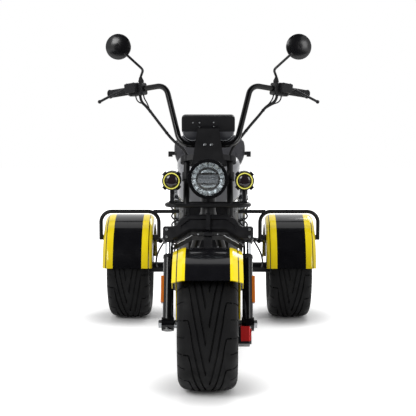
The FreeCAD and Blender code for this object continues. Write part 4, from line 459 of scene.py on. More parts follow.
# Fenders: black ABS with yellow stripes painted along both shoulders, under lacquer.
# Each stripe is a pair of distances from the fender's middle, in mm.
def fenderFinish(name, middle, stripes):
    finish, tree, shader = startFinish(name, {
        "Specular IOR Level": 0.2, "Coat Weight": 0.35, "Coat Roughness": 0.04})
    place = objectPlace(tree)
    parts = addNode(tree, "SeparateXYZ", {0: place})
    offset = calculate(tree, "ABSOLUTE", calculate(tree, "SUBTRACT", parts.outputs["X"], middle))
    bands = [calculate(tree, "COMPARE", offset, (near + far) / 2000, (far - near) / 2000)
             for near, far in stripes]
    haze = noise(tree, place, 45, 3.0)
    paint = mixColours(tree, calculate(tree, "MAXIMUM", *bands), mixColours(tree, haze, "#0B0B0D", "#131316"),
                       mixColours(tree, haze, "#EFD81C", "#E6C912"))
    linkSurface(tree, shader, paint, spread(tree, haze, 0.1, 0.22), noise(tree, place, 30), 0.15, 0.5)
    return finish


rearStripes = ((66, 96), (100, 114))
for finish, names in (
    (powderCoat, "main_frame backrest_carrier rear_arms guard_rails rear_bar lamp_frame lamp_bracket"),
    (castPaint, "rear_axle_beam steering_stem fork_crown fender_yoke spot_lamps brake_levers"),
    (glossSteel, "rear_springs fork_sliders"), (zincSteel, "rear_dampers front_axle"),
    (mouldedBlack, "battery_case body_cowl seat_pan dash_panel control_blocks"),
    (glossBlack, "headlamp_body mirrors"), (softRubber, "brake_hoses handlebar_grips control_cables"),
    (tyreRubber, "front_tyre rear_tyre_left rear_tyre_right"),
    (wheelPaint, "front_rim rear_rim_left rear_rim_right"),
    (deckPlate, "floor_deck"), (tankPaint, "tank_cover"),
    (seatCover, "rider_seat"), (backCover, "passenger_backrest"), (redAcrylic, "tail_lamps"),
    (chromeTube, "fork_stanchions"), (amberAcrylic, "fork_reflectors"), (redAnodised, "front_caliper"),
    (clearLens, "headlamp_lens"), (yellowAcrylic, "spot_lamp_rings"), (spotLens, "spot_lamp_lenses"),
    (barEnamel, "handlebar"), (mirrorGlass, "mirror_glass"),
    (fenderFinish("striped ABS, front", 0, ((78, 105), (109, 123.3))), "front_fender"),
    (fenderFinish("striped ABS, left", 0.379, rearStripes), "rear_fender_left"),
    (fenderFinish("striped ABS, right", -0.379, rearStripes), "rear_fender_right"),
):
    for name in names.split():
        coat(nodes[name], finish)
print("finishes ready")

# Tyres: a swept V tread, its grooves cut by insets that push into the rubber
tread = {
    "pitches": 12, "rows": 7,  # tread blocks round the tyre, and rows of mesh in each
    "grooveStart": 62, "grooveEnd": 4, "grooveSide": 84,  # mm from the middle
    "grooveSpan": 40, "sipeSpan": 6,  # mm along the tread
    "hook": 3, "hookShare": 0.6,  # mm over which a groove starts, and its share of the span there
    "grooveDepth": 6, "sipeDepth": 3, "wall": 0.9,  # mm
    "sweep": 2.6,  # pitches that a groove runs past on its way to the middle
    "pairs": (0.25, 0.479, 0.521, 0.75), "settle": 18,  # the shoulder's rows, and mm over which they settle
    "sipeRows": {0: 88, 1: 88, 4: 78},  # mm from the middle where a row's sipe starts
    "sipeFar": 106, "sipeFoot": 200,  # mm from the middle, mm from the axle
    "frontWidth": 212, "rearWidth": 198, "drawnWidth": 215,  # mm across the sidewalls, and of halfSection
    "beadStart": 178, "beadRun": 14,  # mm from the axle, where the sidewall turns to the bead
    "weld": 0.2, "smooth": 32,
}
halfSection = (
    (0, 238.5), (4, 238.5), (8, 238.4), (12, 238.4), (18, 238.2), (24, 238.0), (30, 237.8), (36, 237.5),
    (42, 237.1), (48, 236.7), (54, 236.2), (60, 235.6), (62, 235.4), (68, 234.6), (74, 233.6), (80, 232.1),
    (84, 230.8), (88, 228.9), (92, 226.4), (96, 223.2), (100, 218.6), (103, 213.6), (105.5, 207.2),
    (106.6, 203), (107.2, 202), (107.3, 200.4), (106.7, 199.4), (106.9, 196), (107, 190), (106.3, 187),
    (106.9, 186.2), (106.6, 184.8), (105.6, 184), (104.5, 181.5), (99, 175.5), (92, 170), (86, 165.6),
    (83.4, 163.7), (80, 160), (77.8, 152.7),
)


def tyreSection(width):  # the crown and sidewalls follow the width, the beads stay on the rim
    half = []
    for across, radius in halfSection:
        bead = min(max((tread["beadStart"] - radius) / tread["beadRun"], 0), 1)
        share = width / tread["drawnWidth"]
        half.append((across * (share + (1 - share) * bead), radius))
    return [(-across, radius) for across, radius in reversed(half[1:])] + half


def treadAngle(step, across):  # where a row of mesh crosses the tread at a distance from the middle
    pitch = 2 * math.pi * wheelRadius * 1000 / tread["pitches"]
    turn, row = divmod(step, tread["rows"])
    far = abs(across)
    start, end = tread["grooveStart"], tread["grooveEnd"]
    shift = tread["sweep"] * pitch * max(start - max(far, end), 0) / (start - end)
    shift += pitch / 2 * min(max((end - across) / (2 * end), 0), 1)  # the left half is half a pitch behind
    if start - tread["hook"] < far < start:
        span = tread["grooveSpan"] * tread["hookShare"]
    else:
        span = tread["grooveSpan"] if end < far < start else tread["sipeSpan"]
    if row < 3:
        local = span * row / 2
    else:
        even = span + (pitch - span) * (row - 2) / (tread["rows"] - 2)
        paired = pitch * tread["pairs"][row - 3]
        local = even + (paired - even) * min(max((far - start) / tread["settle"], 0), 1)
    return (turn * pitch + shift + local) / (wheelRadius * 1000)


def modelTyre(name, centre, body, node, width):
    section = tyreSection(width)
    columns = len(section)

    def place(column, step):
        across, radius = section[column % columns]
        angle = treadAngle(step, across)
        return (centre.x + across / 1000, centre.y - radius / 1000 * math.sin(angle),
                centre.z + radius / 1000 * math.cos(angle))

    tyre = gridPiece(name, columns, tread["pitches"] * tread["rows"], place)
    grooves, sipes = set(), set()
    for face in tyre.data.polygons:
        step, column = divmod(min(face.vertices), columns + 1)
        row = step % tread["rows"]
        if column >= columns - 1:
            continue
        far = abs(section[column][0] + section[column + 1][0]) / 2
        if row < 2 and tread["grooveEnd"] < far < tread["grooveSide"]:
            grooves.add(face.index)
        if row in tread["sipeRows"] and tread["sipeRows"][row] < far < tread["sipeFar"] \
                and section[column][1] > tread["sipeFoot"]:
            sipes.add(face.index)
    selectAll(tyre)
    bpy.ops.mesh.flip_normals()
    for marked, depth in ((grooves, tread["grooveDepth"]), (sipes, tread["sipeDepth"])):
        selectFaces(tyre, lambda face: face.index in marked)
        bpy.ops.mesh.inset(thickness=tread["wall"] / 1000, depth=-depth / 1000)
    closeMesh(tyre, tread["weld"], tread["smooth"])
    dress(tyre, tyreRubber, "tyre_rubber", body, node)


modelTyre("frontTyre", frontAxle, "front_wheel", "front_tyre", tread["frontWidth"])
for hand, axle in rearAxles.items():
    modelTyre("rearTyre" + hand, axle, "rear_wheel_" + hand.lower(), "rear_tyre_" + hand.lower(),
              tread["rearWidth"])
print("tyres ready")

# Cords: each is one smooth line through its route's points, in metres. Thin leads run from the ends of
# each control block into its bundle.
cables = {"radius": 0.0055, "lengths": {"Left": 0.349, "Right": 0.347}, "points": {
    "Left": [
        (0.2682, -0.2759, 1.0588), (0.2654, -0.2774, 1.0352), (0.226, -0.304, 1.018), (0.199, -0.335, 0.985),
        (0.162, -0.372, 0.945), (0.126, -0.398, 0.902), (0.082, -0.4283, 0.8458), (0.082, -0.4384, 0.8241)],
    "Right": [
        (-0.2682, -0.2759, 1.0588), (-0.2654, -0.2774, 1.0352), (-0.240, -0.305, 1.014),
        (-0.214, -0.328, 0.982), (-0.182, -0.356, 0.942), (-0.138, -0.390, 0.888),
        (-0.082, -0.4283, 0.8458), (-0.082, -0.4384, 0.8241)]}}
leads = {"radius": 0.0026, "routes": {
    "Outer": [(0.2858, -0.2667, 1.0563), (0.2836, -0.268, 1.034), (0.245, -0.296, 1.024)],
    "Inner": [(0.2542, -0.2832, 1.0612), (0.253, -0.2838, 1.048), (0.238, -0.297, 1.028)]},
    "lengths": {"OuterLeft": 0.1109, "InnerLeft": 0.0835, "OuterRight": 0.1014, "InnerRight": 0.0777}}
hoses = {"radius": 0.004, "length": 0.446, "points": [
    (0.123, 0.441, 0.500), (0.165, 0.420, 0.452), (0.206, 0.396, 0.397), (0.238, 0.402, 0.342),
    (0.248, 0.456, 0.296), (0.250, 0.530, 0.262), (0.250, 0.6228, 0.2433)]}


def modelCord(name, points, radius, slot, body, node=None):
    cord = drawCurve(name, "NURBS", points, radius, 5, 16)
    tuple(points[0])
    dress(cord, softRubber, slot, body, node)


for hand, points in cables["points"].items():
    modelCord("cable" + hand, points, cables["radius"], "cable_sheath", "steering",
              "control_cables")
for hand, sign in hands:
    bundle = [Vector(point) for point in cables["points"][hand]]
    for end, points in leads["routes"].items():
        route = [(sign * x, y, z) for x, y, z in points] + [tuple(bundle[2].lerp(bundle[3], 0.5))]
        modelCord("lead" + end + hand, route, leads["radius"], "cable_sheath",
                  "steering")
    route = [(sign * x, y, z) for x, y, z in hoses["points"]]
    modelCord("hose" + hand, route, hoses["radius"], "hose_rubber", "chassis", "brake_hoses")
print("cords ready")


# Padded pieces: a foam core under leathercloth, swollen by cloth simulation, then its seams
def padBlock(name):
    deselect()
    bpy.ops.mesh.primitive_cube_add(size=1, location=(0, 0, 0))
    block = bpy.context.object
    block.name = name
    selectAll(block)
    bpy.ops.mesh.subdivide(number_cuts=15)
    leaveEdit()
    return block


def pressIn(piece, lines, depth, width):  # each line gives a distance in metres, and its share of the depth
    normals = [vertex.normal.copy() for vertex in piece.data.vertices]
    for vertex, normal in zip(piece.data.vertices, normals):
        place = vertex.co.copy()
        for distance, share in lines:
            gap = abs(distance(place)) / width
            if gap < 3:  # beyond three widths the groove has died out
                place -= normal * depth * share(place) * math.exp(-gap * gap)
        vertex.co = place


def swell(piece, look, keep):
    makeActive(piece)
    applyModifier(piece, "REMESH", mode="VOXEL", voxel_size=look["voxel"] / 1000)
    start = [vertex.co.copy() for vertex in piece.data.vertices]
    cloth = piece.modifiers.new("cloth", "CLOTH")
    cloth.settings.use_pressure = True
    cloth.settings.uniform_pressure_force = look["pressure"]
    cloth.settings.effector_weights.gravity = 0
    cloth.point_cache.frame_end = look["frames"]
    for step in range(look["frames"]):
        bpy.context.scene.frame_set(step + 1)
    bpy.ops.object.modifier_apply(modifier="cloth")
    bpy.context.scene.frame_set(1)
    cap = look["cap"] / 1000
    for vertex, before in zip(piece.data.vertices, start):
        move = vertex.co - before
        if move.length > cap:
            move *= cap / move.length
        vertex.co = before + move * keep(before)
    applyModifier(piece, "SMOOTH", factor=0.5, iterations=look["smooth"])
    applyModifier(piece, "SUBSURF", levels=1, render_levels=1)
    bpy.ops.object.shade_smooth()


def between(table, at):  # a value from pairs of (share, value)
    for (low, first), (high, last) in zip(table, table[1:]):
        if at <= high:
            part = (at - low) / (high - low)
            part = part * part * (3 - 2 * part)
            return first + (last - first) * part
    return table[-1][1]


riderSeat = {
    "front": 0.077, "length": 0.486, "low": 0.6396, "height": 0.0985, "halfWidth": 0.141,
    "plan": ((0, 0.5), (0.14, 0.66), (0.42, 1), (0.9, 1), (1, 0.92)),
    "line": ((0, 0.50), (0.1, 0.78), (0.3, 0.70), (0.55, 0.64), (0.74, 0.80), (0.88, 1), (1, 0.96)),
    "taper": 0.10, "crown": 0.16, "held": 0.004, "freed": 0.03,  # the cover is held at its foot
    "voxel": 6, "pressure": 4, "frames": 20, "cap": 22, "smooth": 4,
    "channels": (0.22, 0.29, 0.36, 0.43, 0.50, 0.84, 0.91), "channelDepth": 0.0045, "channelWidth": 0.0032,
    "channelLow": 0.045, "channelHalf": 0.118, "piping": 0.0028, "pipingProud": 0.4,
    "pipingLevel": 0.74, "pipingPoints": 90, "seamLevel": 0.80, "seamPoints": 150, "edgeOut": 1.1,
    "edgeLong": 1.06, "stitch": (0.0007, 0.0007, 0.0026), "stitchProud": 0.0003,
}


def modelRiderSeat():
    look = riderSeat
    seat = padBlock("riderSeat")
    for vertex in seat.data.vertices:
        across, along, up = vertex.co.x * 2, vertex.co.y + 0.5, vertex.co.z + 0.5
        half = look["halfWidth"] * between(look["plan"], along) * (1 - look["taper"] * up * up)
        high = look["height"] * between(look["line"], along) * (1 - look["crown"] * across * across * up)
        vertex.co = (across * half, look["front"] + look["length"] * along, look["low"] + high * up)
    swell(seat, look, lambda before: min(max((before.z - look["low"] - look["held"]) / look["freed"], 0), 1))
    channels = [(lambda co, at=look["front"] + look["length"] * share: co.y - at,
                 lambda co: co.z > look["low"] + look["channelLow"] and abs(co.x) < look["channelHalf"])
                for share in look["channels"]]
    pressIn(seat, channels, look["channelDepth"], look["channelWidth"])
    for vertex in seat.data.vertices:  # the cover stays on its pan
        vertex.co.z = max(vertex.co.z, look["low"])
    dress(seat, seatCover, "seat_leather", "chassis", "rider_seat")
    return seat


passengerBack = {
    "halfWidth": 0.170, "bottom": 0.703, "height": 0.183, "front": 0.588, "depth": 0.080, "lean": 8,
    "outline": ((0, 0.68), (0.32, 0.94), (0.66, 1), (0.8, 0.98), (0.94, 0.86), (1, 0.68)), "dome": 0.10,
    "held": 0.078, "freed": 0.02, "voxel": 5, "pressure": 4, "frames": 20, "cap": 14, "smooth": 4,
    "seamDepth": 0.004, "seamWidth": 0.003, "panel": 0.72, "panelLevel": 0.94, "panelSlope": 0.7,
    "faceDepth": 0.035,
}


def modelPassengerBack():
    look = passengerBack
    back = padBlock("passengerBack")
    turn = Matrix.Rotation(math.radians(-look["lean"]), 4, "X")
    foot = Vector((0, look["front"], look["bottom"]))
    for vertex in back.data.vertices:
        across, deep, up = vertex.co.x * 2, vertex.co.y + 0.5, vertex.co.z + 0.5
        half = look["halfWidth"] * between(look["outline"], up)
        dome = (1 - deep) * look["dome"] * (across * across + (2 * up - 1) ** 2)
        vertex.co = foot + turn @ Vector((across * half, look["depth"] * (deep + dome * (1 - deep)),
                                          look["height"] * up))
    backward = turn @ Vector((0, 1, 0))

    def keep(before):
        return min(max((look["held"] - (before - foot).dot(backward)) / look["freed"], 0), 1)

    def panelGap(co):  # distance from a rounded panel seam on the face of the pad
        local = turn.inverted() @ (co - foot)
        wide = abs(local.x) / look["halfWidth"]
        tall = abs(local.z / look["height"] * 2 - look["panelLevel"])
        reach = (wide ** 4 + tall ** 4) ** 0.25
        return (reach - look["panel"]) * look["halfWidth"] * look["panelSlope"]

    swell(back, look, keep)
    pressIn(back, [(panelGap, lambda co: (co - foot).dot(backward) < look["faceDepth"])], look["seamDepth"],
            look["seamWidth"])
    dress(back, backCover, "backrest_leather", "chassis", "passenger_backrest")


seatPiece = modelRiderSeat()
modelPassengerBack()
print("seats ready")


def seatEdge(level, count):  # points just off the cover, round the seat at a share of its height
    look = riderSeat
    edge = []
    for turn in turns(count):
        along = 0.5 - 0.5 * math.cos(turn)
        half = look["halfWidth"] * between(look["plan"], along) * min(1, 4 * abs(math.sin(turn)) ** 0.5)
        high = look["height"] * between(look["line"], along)
        side = 1 if math.sin(turn) >= 0 else -1
        edge.append(Vector((side * half * look["edgeOut"],
                            look["front"] + look["length"] * (0.5 + (along - 0.5) * look["edgeLong"]),
                            look["low"] + high * level)))
    return edge


def modelPiping():
    look = riderSeat
    points = []
    for target in seatEdge(look["pipingLevel"], look["pipingPoints"]):
        found, place, normal, face = seatPiece.closest_point_on_mesh(target)
        points.append(place + normal * look["piping"] * look["pipingProud"])
    piping = curveMesh(drawCurve("seatPiping", "NURBS", points, look["piping"], 3, 4, closed=True))
    bpy.ops.object.shade_smooth()
    dress(piping, seatCover, "seat_leather", "chassis")


modelPiping()


# Small fasteners: each is modelled once at the origin, pointing up, and copied
def steppedBlank(sides, radius, depth, level, steps):  # a cylinder whose top is stepped by insets
    deselect()
    bpy.ops.mesh.primitive_cylinder_add(vertices=sides, radius=radius, depth=depth, location=(0, 0, level))
    blank = bpy.context.object
    selectFaces(blank, lambda face: face.normal.z > 0.9)
    for thickness, raised in steps:
        bpy.ops.mesh.inset(thickness=thickness, depth=raised)
    leaveEdit()
    return blank


def finishPlace(piece):  # the place goes into the mesh, as on a CAD node
    makeActive(piece)
    bpy.ops.object.transform_apply(location=True, rotation=True, scale=True)


hexBolt = joinPieces("hexBoltMaster", [steppedBlank(6, 1, 0.9, 0.55, [(0.12, 0.12)]),
                                       steppedBlank(20, 1.35, 0.22, 0, [(0.1, 0.04)])])
socketBolt = steppedBlank(18, 1, 1.0, 0.5, [(0.14, 0.14), (0.3, 0), (0.02, -0.5)])
for master in (hexBolt, socketBolt):
    finishPlace(master)


def onSurface(node, start, way):  # where a line from start meets a CAD node, and that face's direction
    met, place, normal, face = nodes[node].ray_cast(Vector(start), Vector(way).normalized())
    if not met:
        print("no surface of", node, "on the line from", [round(value, 3) for value in start])
        return None
    return place, normal


def placeCopies(name, master, body, places, slot="axle_steel", finish=zincSteel):
    copies = []
    for place, way, size in places:
        copy = addObject(name, master.data.copy())
        turn = Vector(way).to_track_quat("Z", "Y").to_matrix().to_4x4()
        copy.data.transform(Matrix.Translation(Vector(place)) @ turn @ Matrix.Diagonal((size, size, size, 1)))
        copies.append(copy)
    piece = joinPieces(name, copies)
    makeActive(piece)
    smoothUpTo(35)
    dress(piece, finish, slot, body)


def boltsOn(name, master, body, node, size, starts):  # each start lies 1 m or more off along one axis
    hits = [onSurface(node, start, [-value if abs(value) >= 1 else 0 for value in start]) for start in starts]
    placeCopies(name, master, body, [(*hit, size) for hit in hits if hit])


def boltCircle(side, centre, radius, count):
    return [(side, centre.y + radius * math.cos(turn), centre.z + radius * math.sin(turn))
            for turn in turns(count)]


dashScrews = (
    (-0.058, 0.956), (-0.033, 0.956), (-0.033, 0.940), (-0.014, 0.931), (0.020, 0.957), (0.021, 0.941))
for bolts in (
    ("bracketBolts", hexBolt, "steering", "lamp_bracket", 0.0042, [(x, -2, 0.875) for x in (-0.012, 0.012)]),
    ("dashScrews", socketBolt, "steering", "dash_panel", 0.0028, [(x, -2, z) for x, z in dashScrews]),
    ("crownBolts", socketBolt, "steering", "fork_crown", 0.0045,
     [(x, -2, z) for x in (-0.152, 0.152) for z in (0.540, 0.566)]),
    ("riserBolts", socketBolt, "steering", "steering_stem", 0.004,
     [(x, y, 2) for x in (-0.030, 0.030) for y in (-0.452, -0.428)]),
    ("padBolts", socketBolt, "steering", "fender_yoke", 0.0035,
     [(x, y, 2) for x in (-0.036, 0.036) for y in (-0.612, -0.590)]),
    ("lugBolts", socketBolt, "steering", "fork_sliders", 0.004, [(x, -2, 0.226) for x in (-0.144, 0.144)]),
    ("deckScrews", socketBolt, "chassis", "floor_deck", 0.0045,
     [(x, y, 2) for x in (-0.150, 0.150) for y in (-0.19, -0.02, 0.12)]),
    ("hubBoltsLeft", hexBolt, "rear_wheel_left", "rear_rim_left", 0.0042,
     boltCircle(1, rearAxles["Left"], 0.028, 5)),
    ("hubBoltsRight", hexBolt, "rear_wheel_right", "rear_rim_right", 0.0042,
     boltCircle(-1, rearAxles["Right"], 0.028, 5)),
    ("discBolts", socketBolt, "front_wheel", "front_rim", 0.0032, boltCircle(1, frontAxle, 0.027, 6)),
):
    boltsOn(*bolts)
print("fasteners ready")

# Headlamp: a metallised bowl of 16 stepped segments round a split disc, behind a domed glass
headlamp = {
    "centre": (0, -0.5842, 0.753), "sides": 64, "segments": 16, "segmentInner": 44.5, "segmentOuter": 60.5,
    "gap": 2.6, "crossGap": 4.4, "pitch": 19,  # mm between segments, at the four crossings, along a segment
    "ringRadius": 40.5, "ringWire": 2.3, "ringLevel": 6.2, "windowLow": 19.5, "windowRadius": 36.5,
    "windowHalf": 27, "bandHalf": 14.5, "bandInset": 2, "barLevel": 17, "barHalf": 1.4, "smooth": 14,
    # Each plate's columns, rows and wall, then how far it stands out, bulges and steps toward the front
    "segment": (8, 8, 0.8), "window": (16, 8, 0.8), "bar": (6, 4, 3), "band": (28, 6, 0.8),
    "segmentOut": (3.2, 3.6, 1.5, 0.55), "windowOut": (3.6, 3.4, 0.4), "windowMargin": 0.05,
    "barOut": (7.4, 0.8), "bandOut": (4.2, 1.2, 0.5),
    "dish": [(0, 0.3), (62.2, 0.3), (62.2, 8.4), (60.9, 7.6), (60.7, 2.2), (0, 2.2)],
    "dome": [(0, 13.6), (15, 13.4), (30, 12.8), (45, 11.7), (56, 10.4), (62, 9.2), (62, 8.2), (56, 9.4),
             (45, 10.7), (30, 11.8), (15, 12.4), (0, 12.6)],
}


def modelHeadlamp():
    look = headlamp
    back = Vector(look["centre"])

    def local(x, z, out):  # mm from the middle of the lens, out toward the front
        return back + Vector((x, -out, z)) / 1000

    dark = [modelTurned("lampDish", look["dish"], back, forward, look["sides"])]
    bright = []
    for step in range(look["segments"]):
        before = look["crossGap"] if step % 4 == 0 else look["gap"]
        after = look["crossGap"] if step % 4 == 3 else look["gap"]

        def segment(u, v):
            radius = look["segmentInner"] + (look["segmentOuter"] - look["segmentInner"]) * v
            first = (step + before / 2 / look["pitch"]) * 2 * math.pi / look["segments"]
            last = (step + 1 - after / 2 / look["pitch"]) * 2 * math.pi / look["segments"]
            angle = first + (last - first) * u
            out, dish, bulge, ridge = look["segmentOut"]
            out += dish * v * v + bulge * math.sin(math.pi * u) + ridge * (round(v * look["segment"][1]) % 2)
            return local(radius * math.cos(angle), radius * math.sin(angle), out)

        bright.append(modelPlate("segment", *look["segment"], segment))
    wire = wireSection(look["ringRadius"], look["ringWire"], look["ringLevel"], 10)
    dark.append(modelTurned("lampRing", wire, back, forward, look["sides"]))
    for way in (1, -1):
        def window(u, v):
            x = (2 * u - 1) * look["windowHalf"]
            top = math.sqrt(look["windowRadius"] ** 2 - x * x)
            z = look["windowLow"] + (top - look["windowLow"]) * v
            out, bulge, ridge = look["windowOut"]
            inner = min(max(u, look["windowMargin"]), 1 - look["windowMargin"])
            out += bulge * math.sin(math.pi * v) * math.sin(math.pi * inner) ** 0.5
            return local(x, way * z, out + ridge * (round(u * look["window"][0]) % 2))

        def bar(u, v):
            reach = math.sqrt(look["ringRadius"] ** 2 - look["barLevel"] ** 2)
            out, bulge = look["barOut"]
            return local((2 * u - 1) * reach, way * look["barLevel"] + look["barHalf"] * (2 * v - 1),
                         out + bulge * math.sin(math.pi * v))

        bright.append(modelPlate("window", *look["window"], window))
        dark.append(modelPlate("bar", *look["bar"], bar))

    def band(u, v):
        z = (2 * v - 1) * look["bandHalf"]
        reach = math.sqrt((look["ringRadius"] - look["bandInset"]) ** 2 - z * z)
        out, bulge, ridge = look["bandOut"]
        out += bulge * math.cos(math.pi * (u - 0.5)) + ridge * (round(u * look["band"][0]) % 2)
        return local((2 * u - 1) * reach, z, out)

    reflector = joinPieces("headlampReflector", bright)
    makeActive(reflector)
    smoothUpTo(look["smooth"])
    dress(reflector, metallised, "lamp_clear", "steering")
    dress(joinPieces("headlampInner", dark), lampInside, "lamp_black", "steering")
    dress(modelPlate("headlampBand", *look["band"], band), bandFinish, "lamp_clear", "steering")
    glass = modelTurned("headlampGlass", look["dome"], back, forward, look["sides"])
    dress(glass, clearLens, "lamp_clear", "steering", "headlamp_lens")


modelHeadlamp()

# Spot lamps: a pale yellow halo ring round a domed dark lens
spotLamp = {
    "across": 0.135, "height": 0.744, "ringFace": -0.5692, "lensFace": -0.5655,
    "ring": wireSection(28.3, 2.3, 0, 12),
    "dome": [(0, 6.2), (6, 5.9), (12, 5.0), (17, 3.6), (21, 1.9), (24, 0.3), (24.9, -0.8), (24.9, -2.2),
             (0, -2.2)],
    "collar": [(24.9, -2), (26.2, -2), (26.2, 1.2), (25.6, 1.8), (24.9, 1.2), (24.9, -2)],
}
ringFaces, lensFaces = [
    [(sign * spotLamp["across"], spotLamp[face], spotLamp["height"]) for hand, sign in hands]
    for face in ("ringFace", "lensFace")]
dressTurned("spotRings", spotLamp["ring"], ringFaces, forward, 56, yellowAcrylic, "ring_yellow", "steering",
            "spot_lamp_rings")
dressTurned("spotDomes", spotLamp["dome"], lensFaces, forward, 48, spotLens, "spot_glass", "steering",
            "spot_lamp_lenses")
dressTurned("spotCollars", spotLamp["collar"], lensFaces, forward, 48, lampInside, "lamp_black", "steering")
print("lamps ready")

# Grips: moulded rubber sleeves with a waffle of small blocks between two flanges
grip = {
    "end": (0.394, -0.210, 1.064), "corner": (0.165, -0.330, 1.099), "length": 0.092, "body": 15.2,
    "bodyStart": 6, "bodyLength": 80, "blocksFrom": 7, "blocksTo": 85, "block": 0.7, "rows": 26, "around": 20,
    "inner": [(11.2, 0.2), (17, 0.2), (17.8, 1), (17.8, 3.6), (15.2, 5)],
    "outer": [(17.2, 87.5), (17.8, 88.6), (17.8, 91), (16.4, 93), (11, 94.6), (10, 95.8), (0, 95.9),
              (0, 92.5), (11.2, 92.5), (11.2, 0.2)],
}


def modelGrips():
    look = grip
    body = [(look["body"], look["bodyStart"] + look["bodyLength"] * step / (2 * look["rows"]))
            for step in range(2 * look["rows"] + 1)]
    profile = look["inner"] + body + look["outer"]

    def waffle(angle, along, radius):
        if not look["blocksFrom"] < along < look["blocksTo"] or radius != look["body"]:
            return 0
        row = round((along - look["bodyStart"]) / look["bodyLength"] * 2 * look["rows"])
        column = round(angle / (2 * math.pi) * 4 * look["around"])
        return look["block"] if row % 4 in (1, 2) and column % 4 in (1, 2) else 0

    sleeves = []
    for hand, sign in hands:
        end, corner = [Vector((sign * x, y, z)) for x, y, z in (look["end"], look["corner"])]
        way = (end - corner).normalized()
        start = end - way * look["length"]
        sleeves.append(modelTurned("grip", profile, start, way, 4 * look["around"], waffle))
    dress(joinPieces("grips", sleeves), softRubber, "grip_rubber", "steering", "handlebar_grips")


modelGrips()

# Fork: rubber dust seals on the sliders, and a collar under the crown
fork = {
    "across": 0.144, "sealPlace": 0.246, "collarPlace": 0.3035,
    "seal": [(15.2, 0), (20.4, 0), (21.2, 1), (21.2, 4), (20.2, 5), (20.2, 7.5), (21.2, 8.5), (21.0, 10),
             (18.4, 13.5), (15.6, 15.5), (15.2, 15.5), (15.2, 0)],
    "collar": [(15.2, 0), (18.6, 0.4), (19.4, 1.4), (19.4, 6.5), (15.2, 6.5), (15.2, 0)],
}
alongFork = onFork(0, 1) - onFork(0, 0)
sealPlaces, collarPlaces = [[onFork(sign * fork["across"], fork[place]) for hand, sign in hands]
                            for place in ("sealPlace", "collarPlace")]
dressTurned("dustSeals", fork["seal"], sealPlaces, alongFork, 40, softRubber, "hose_rubber", "steering")
dressTurned("forkCollars", fork["collar"], collarPlaces, alongFork, 40, castPaint, "fork_black", "steering")

# Brake discs: ground steel faces, drilled, over the dark carrier
brakeDisc = {"radii": (62, 66, 70, 74, 79, 83, 88, 92, 97.4), "half": 2.3, "sides": 96,
             "holes": ((66, 70, 0), (74, 79, 2), (83, 88, 4)), "holeStep": 6,  # low, high, first side, every
             "front": 0.106, "rear": 0.323}


def modelDisc(name, across, axle, body):
    look = brakeDisc
    middle = Vector((across, axle.y, axle.z))
    profile = [(radius, -look["half"]) for radius in look["radii"]]
    profile += [(radius, look["half"]) for radius in reversed(look["radii"])]
    disc = modelTurned(name, profile + profile[:1], middle, (1, 0, 0), look["sides"])

    def drilled(face):
        if abs(face.normal.x) < 0.9:
            return False
        offset = face.center - middle
        radius = math.hypot(offset.y, offset.z) * 1000
        step = int(math.atan2(offset.z, offset.y) / (2 * math.pi) * look["sides"] + look["sides"])
        return any(low < radius < high and step % look["holeStep"] == first
                   for low, high, first in look["holes"])

    cutFaces(disc, drilled)
    dress(disc, groundSteel, "axle_steel", body)


modelDisc("frontDisc", brakeDisc["front"], frontAxle, "front_wheel")
for hand, sign in hands:
    modelDisc("rearDisc" + hand, sign * brakeDisc["rear"], rearAxles[hand], "rear_wheel_" + hand.lower())
print("fork, grips and discs ready")

# Dash: two gauge cups show on its back, and two blank gauges face the rider
gauge = {
    "cupAcross": 0.060, "cupHeight": 0.922, "faceAcross": 0.048, "faceHeight": 0.938,
    "cup": [(0, 1.8), (32, 1.8), (35, 1.0), (36, -1.5), (0, -1.5)], "rim": wireSection(35.4, 0.9, 1.0, 8),
    "bezel": [(30, 0.2), (34.4, 0.2), (34, 3), (32, 4.4), (30, 3.4), (30, 0.2)],
    "facePlate": [(0, 1.2), (31, 1.2), (31, 0.1), (0, 0.1)],
    "marks": [(24, 1.5), (28, 1.5), (28, 1.1), (24, 1.1), (24, 1.5)], "markSides": 96, "markStep": 4,
    "cover": [(0, 4.2), (15.5, 3.9), (30, 3.0), (30, 2.4), (15.5, 3.3), (0, 3.6)],
}


def modelDash():
    look = gauge
    cups, rims, bezels, faces, marks, covers = [], [], [], [], [], []
    for hand, sign in hands:
        hit = onSurface("dash_panel", (sign * look["cupAcross"], -2, look["cupHeight"]), (0, 1, 0))
        cups.append(modelTurned("cup", look["cup"], *hit, 48))
        rims.append(modelTurned("rim", look["rim"], *hit, 48))
        for piece in (cups[-1], rims[-1]):  # only the lower half stands free of the panel
            selectAll(piece)
            bpy.ops.mesh.bisect(plane_co=(0, 0, look["cupHeight"]), plane_no=(0, 0, 1), use_fill=True,
                                clear_outer=True)
            leaveEdit()
        hit = onSurface("dash_panel", (sign * look["faceAcross"], 2, look["faceHeight"]), forward)
        bezels.append(modelTurned("bezel", look["bezel"], *hit, 56))
        faces.append(modelTurned("face", look["facePlate"], *hit, 56))
        marks.append(modelTurned("marks", look["marks"], *hit, look["markSides"]))
        turn = hit[1].to_track_quat("Z", "Y").to_matrix()

        def unmarked(face):
            offset = turn.transposed() @ (face.center - hit[0])
            step = int((math.atan2(offset.y, offset.x) / (2 * math.pi) + 1) * look["markSides"])
            return step % look["markStep"] != 0

        cutFaces(marks[-1], unmarked)
        covers.append(modelTurned("cover", look["cover"], *hit, 48))
    for name, pieces, finish in (("gaugeCups", cups, cupFinish), ("cupRims", rims, rimFinish),
                                 ("gaugeBezels", bezels, glossBlack), ("gaugeFaces", faces, lampInside),
                                 ("gaugeMarks", marks, rimFinish)):
        dress(joinPieces(name, pieces), finish, "dash_plastic", "steering")
    dress(joinPieces("gaugeCovers", covers), clearLens, "lamp_clear", "steering")


modelDash()
print("dash ready")

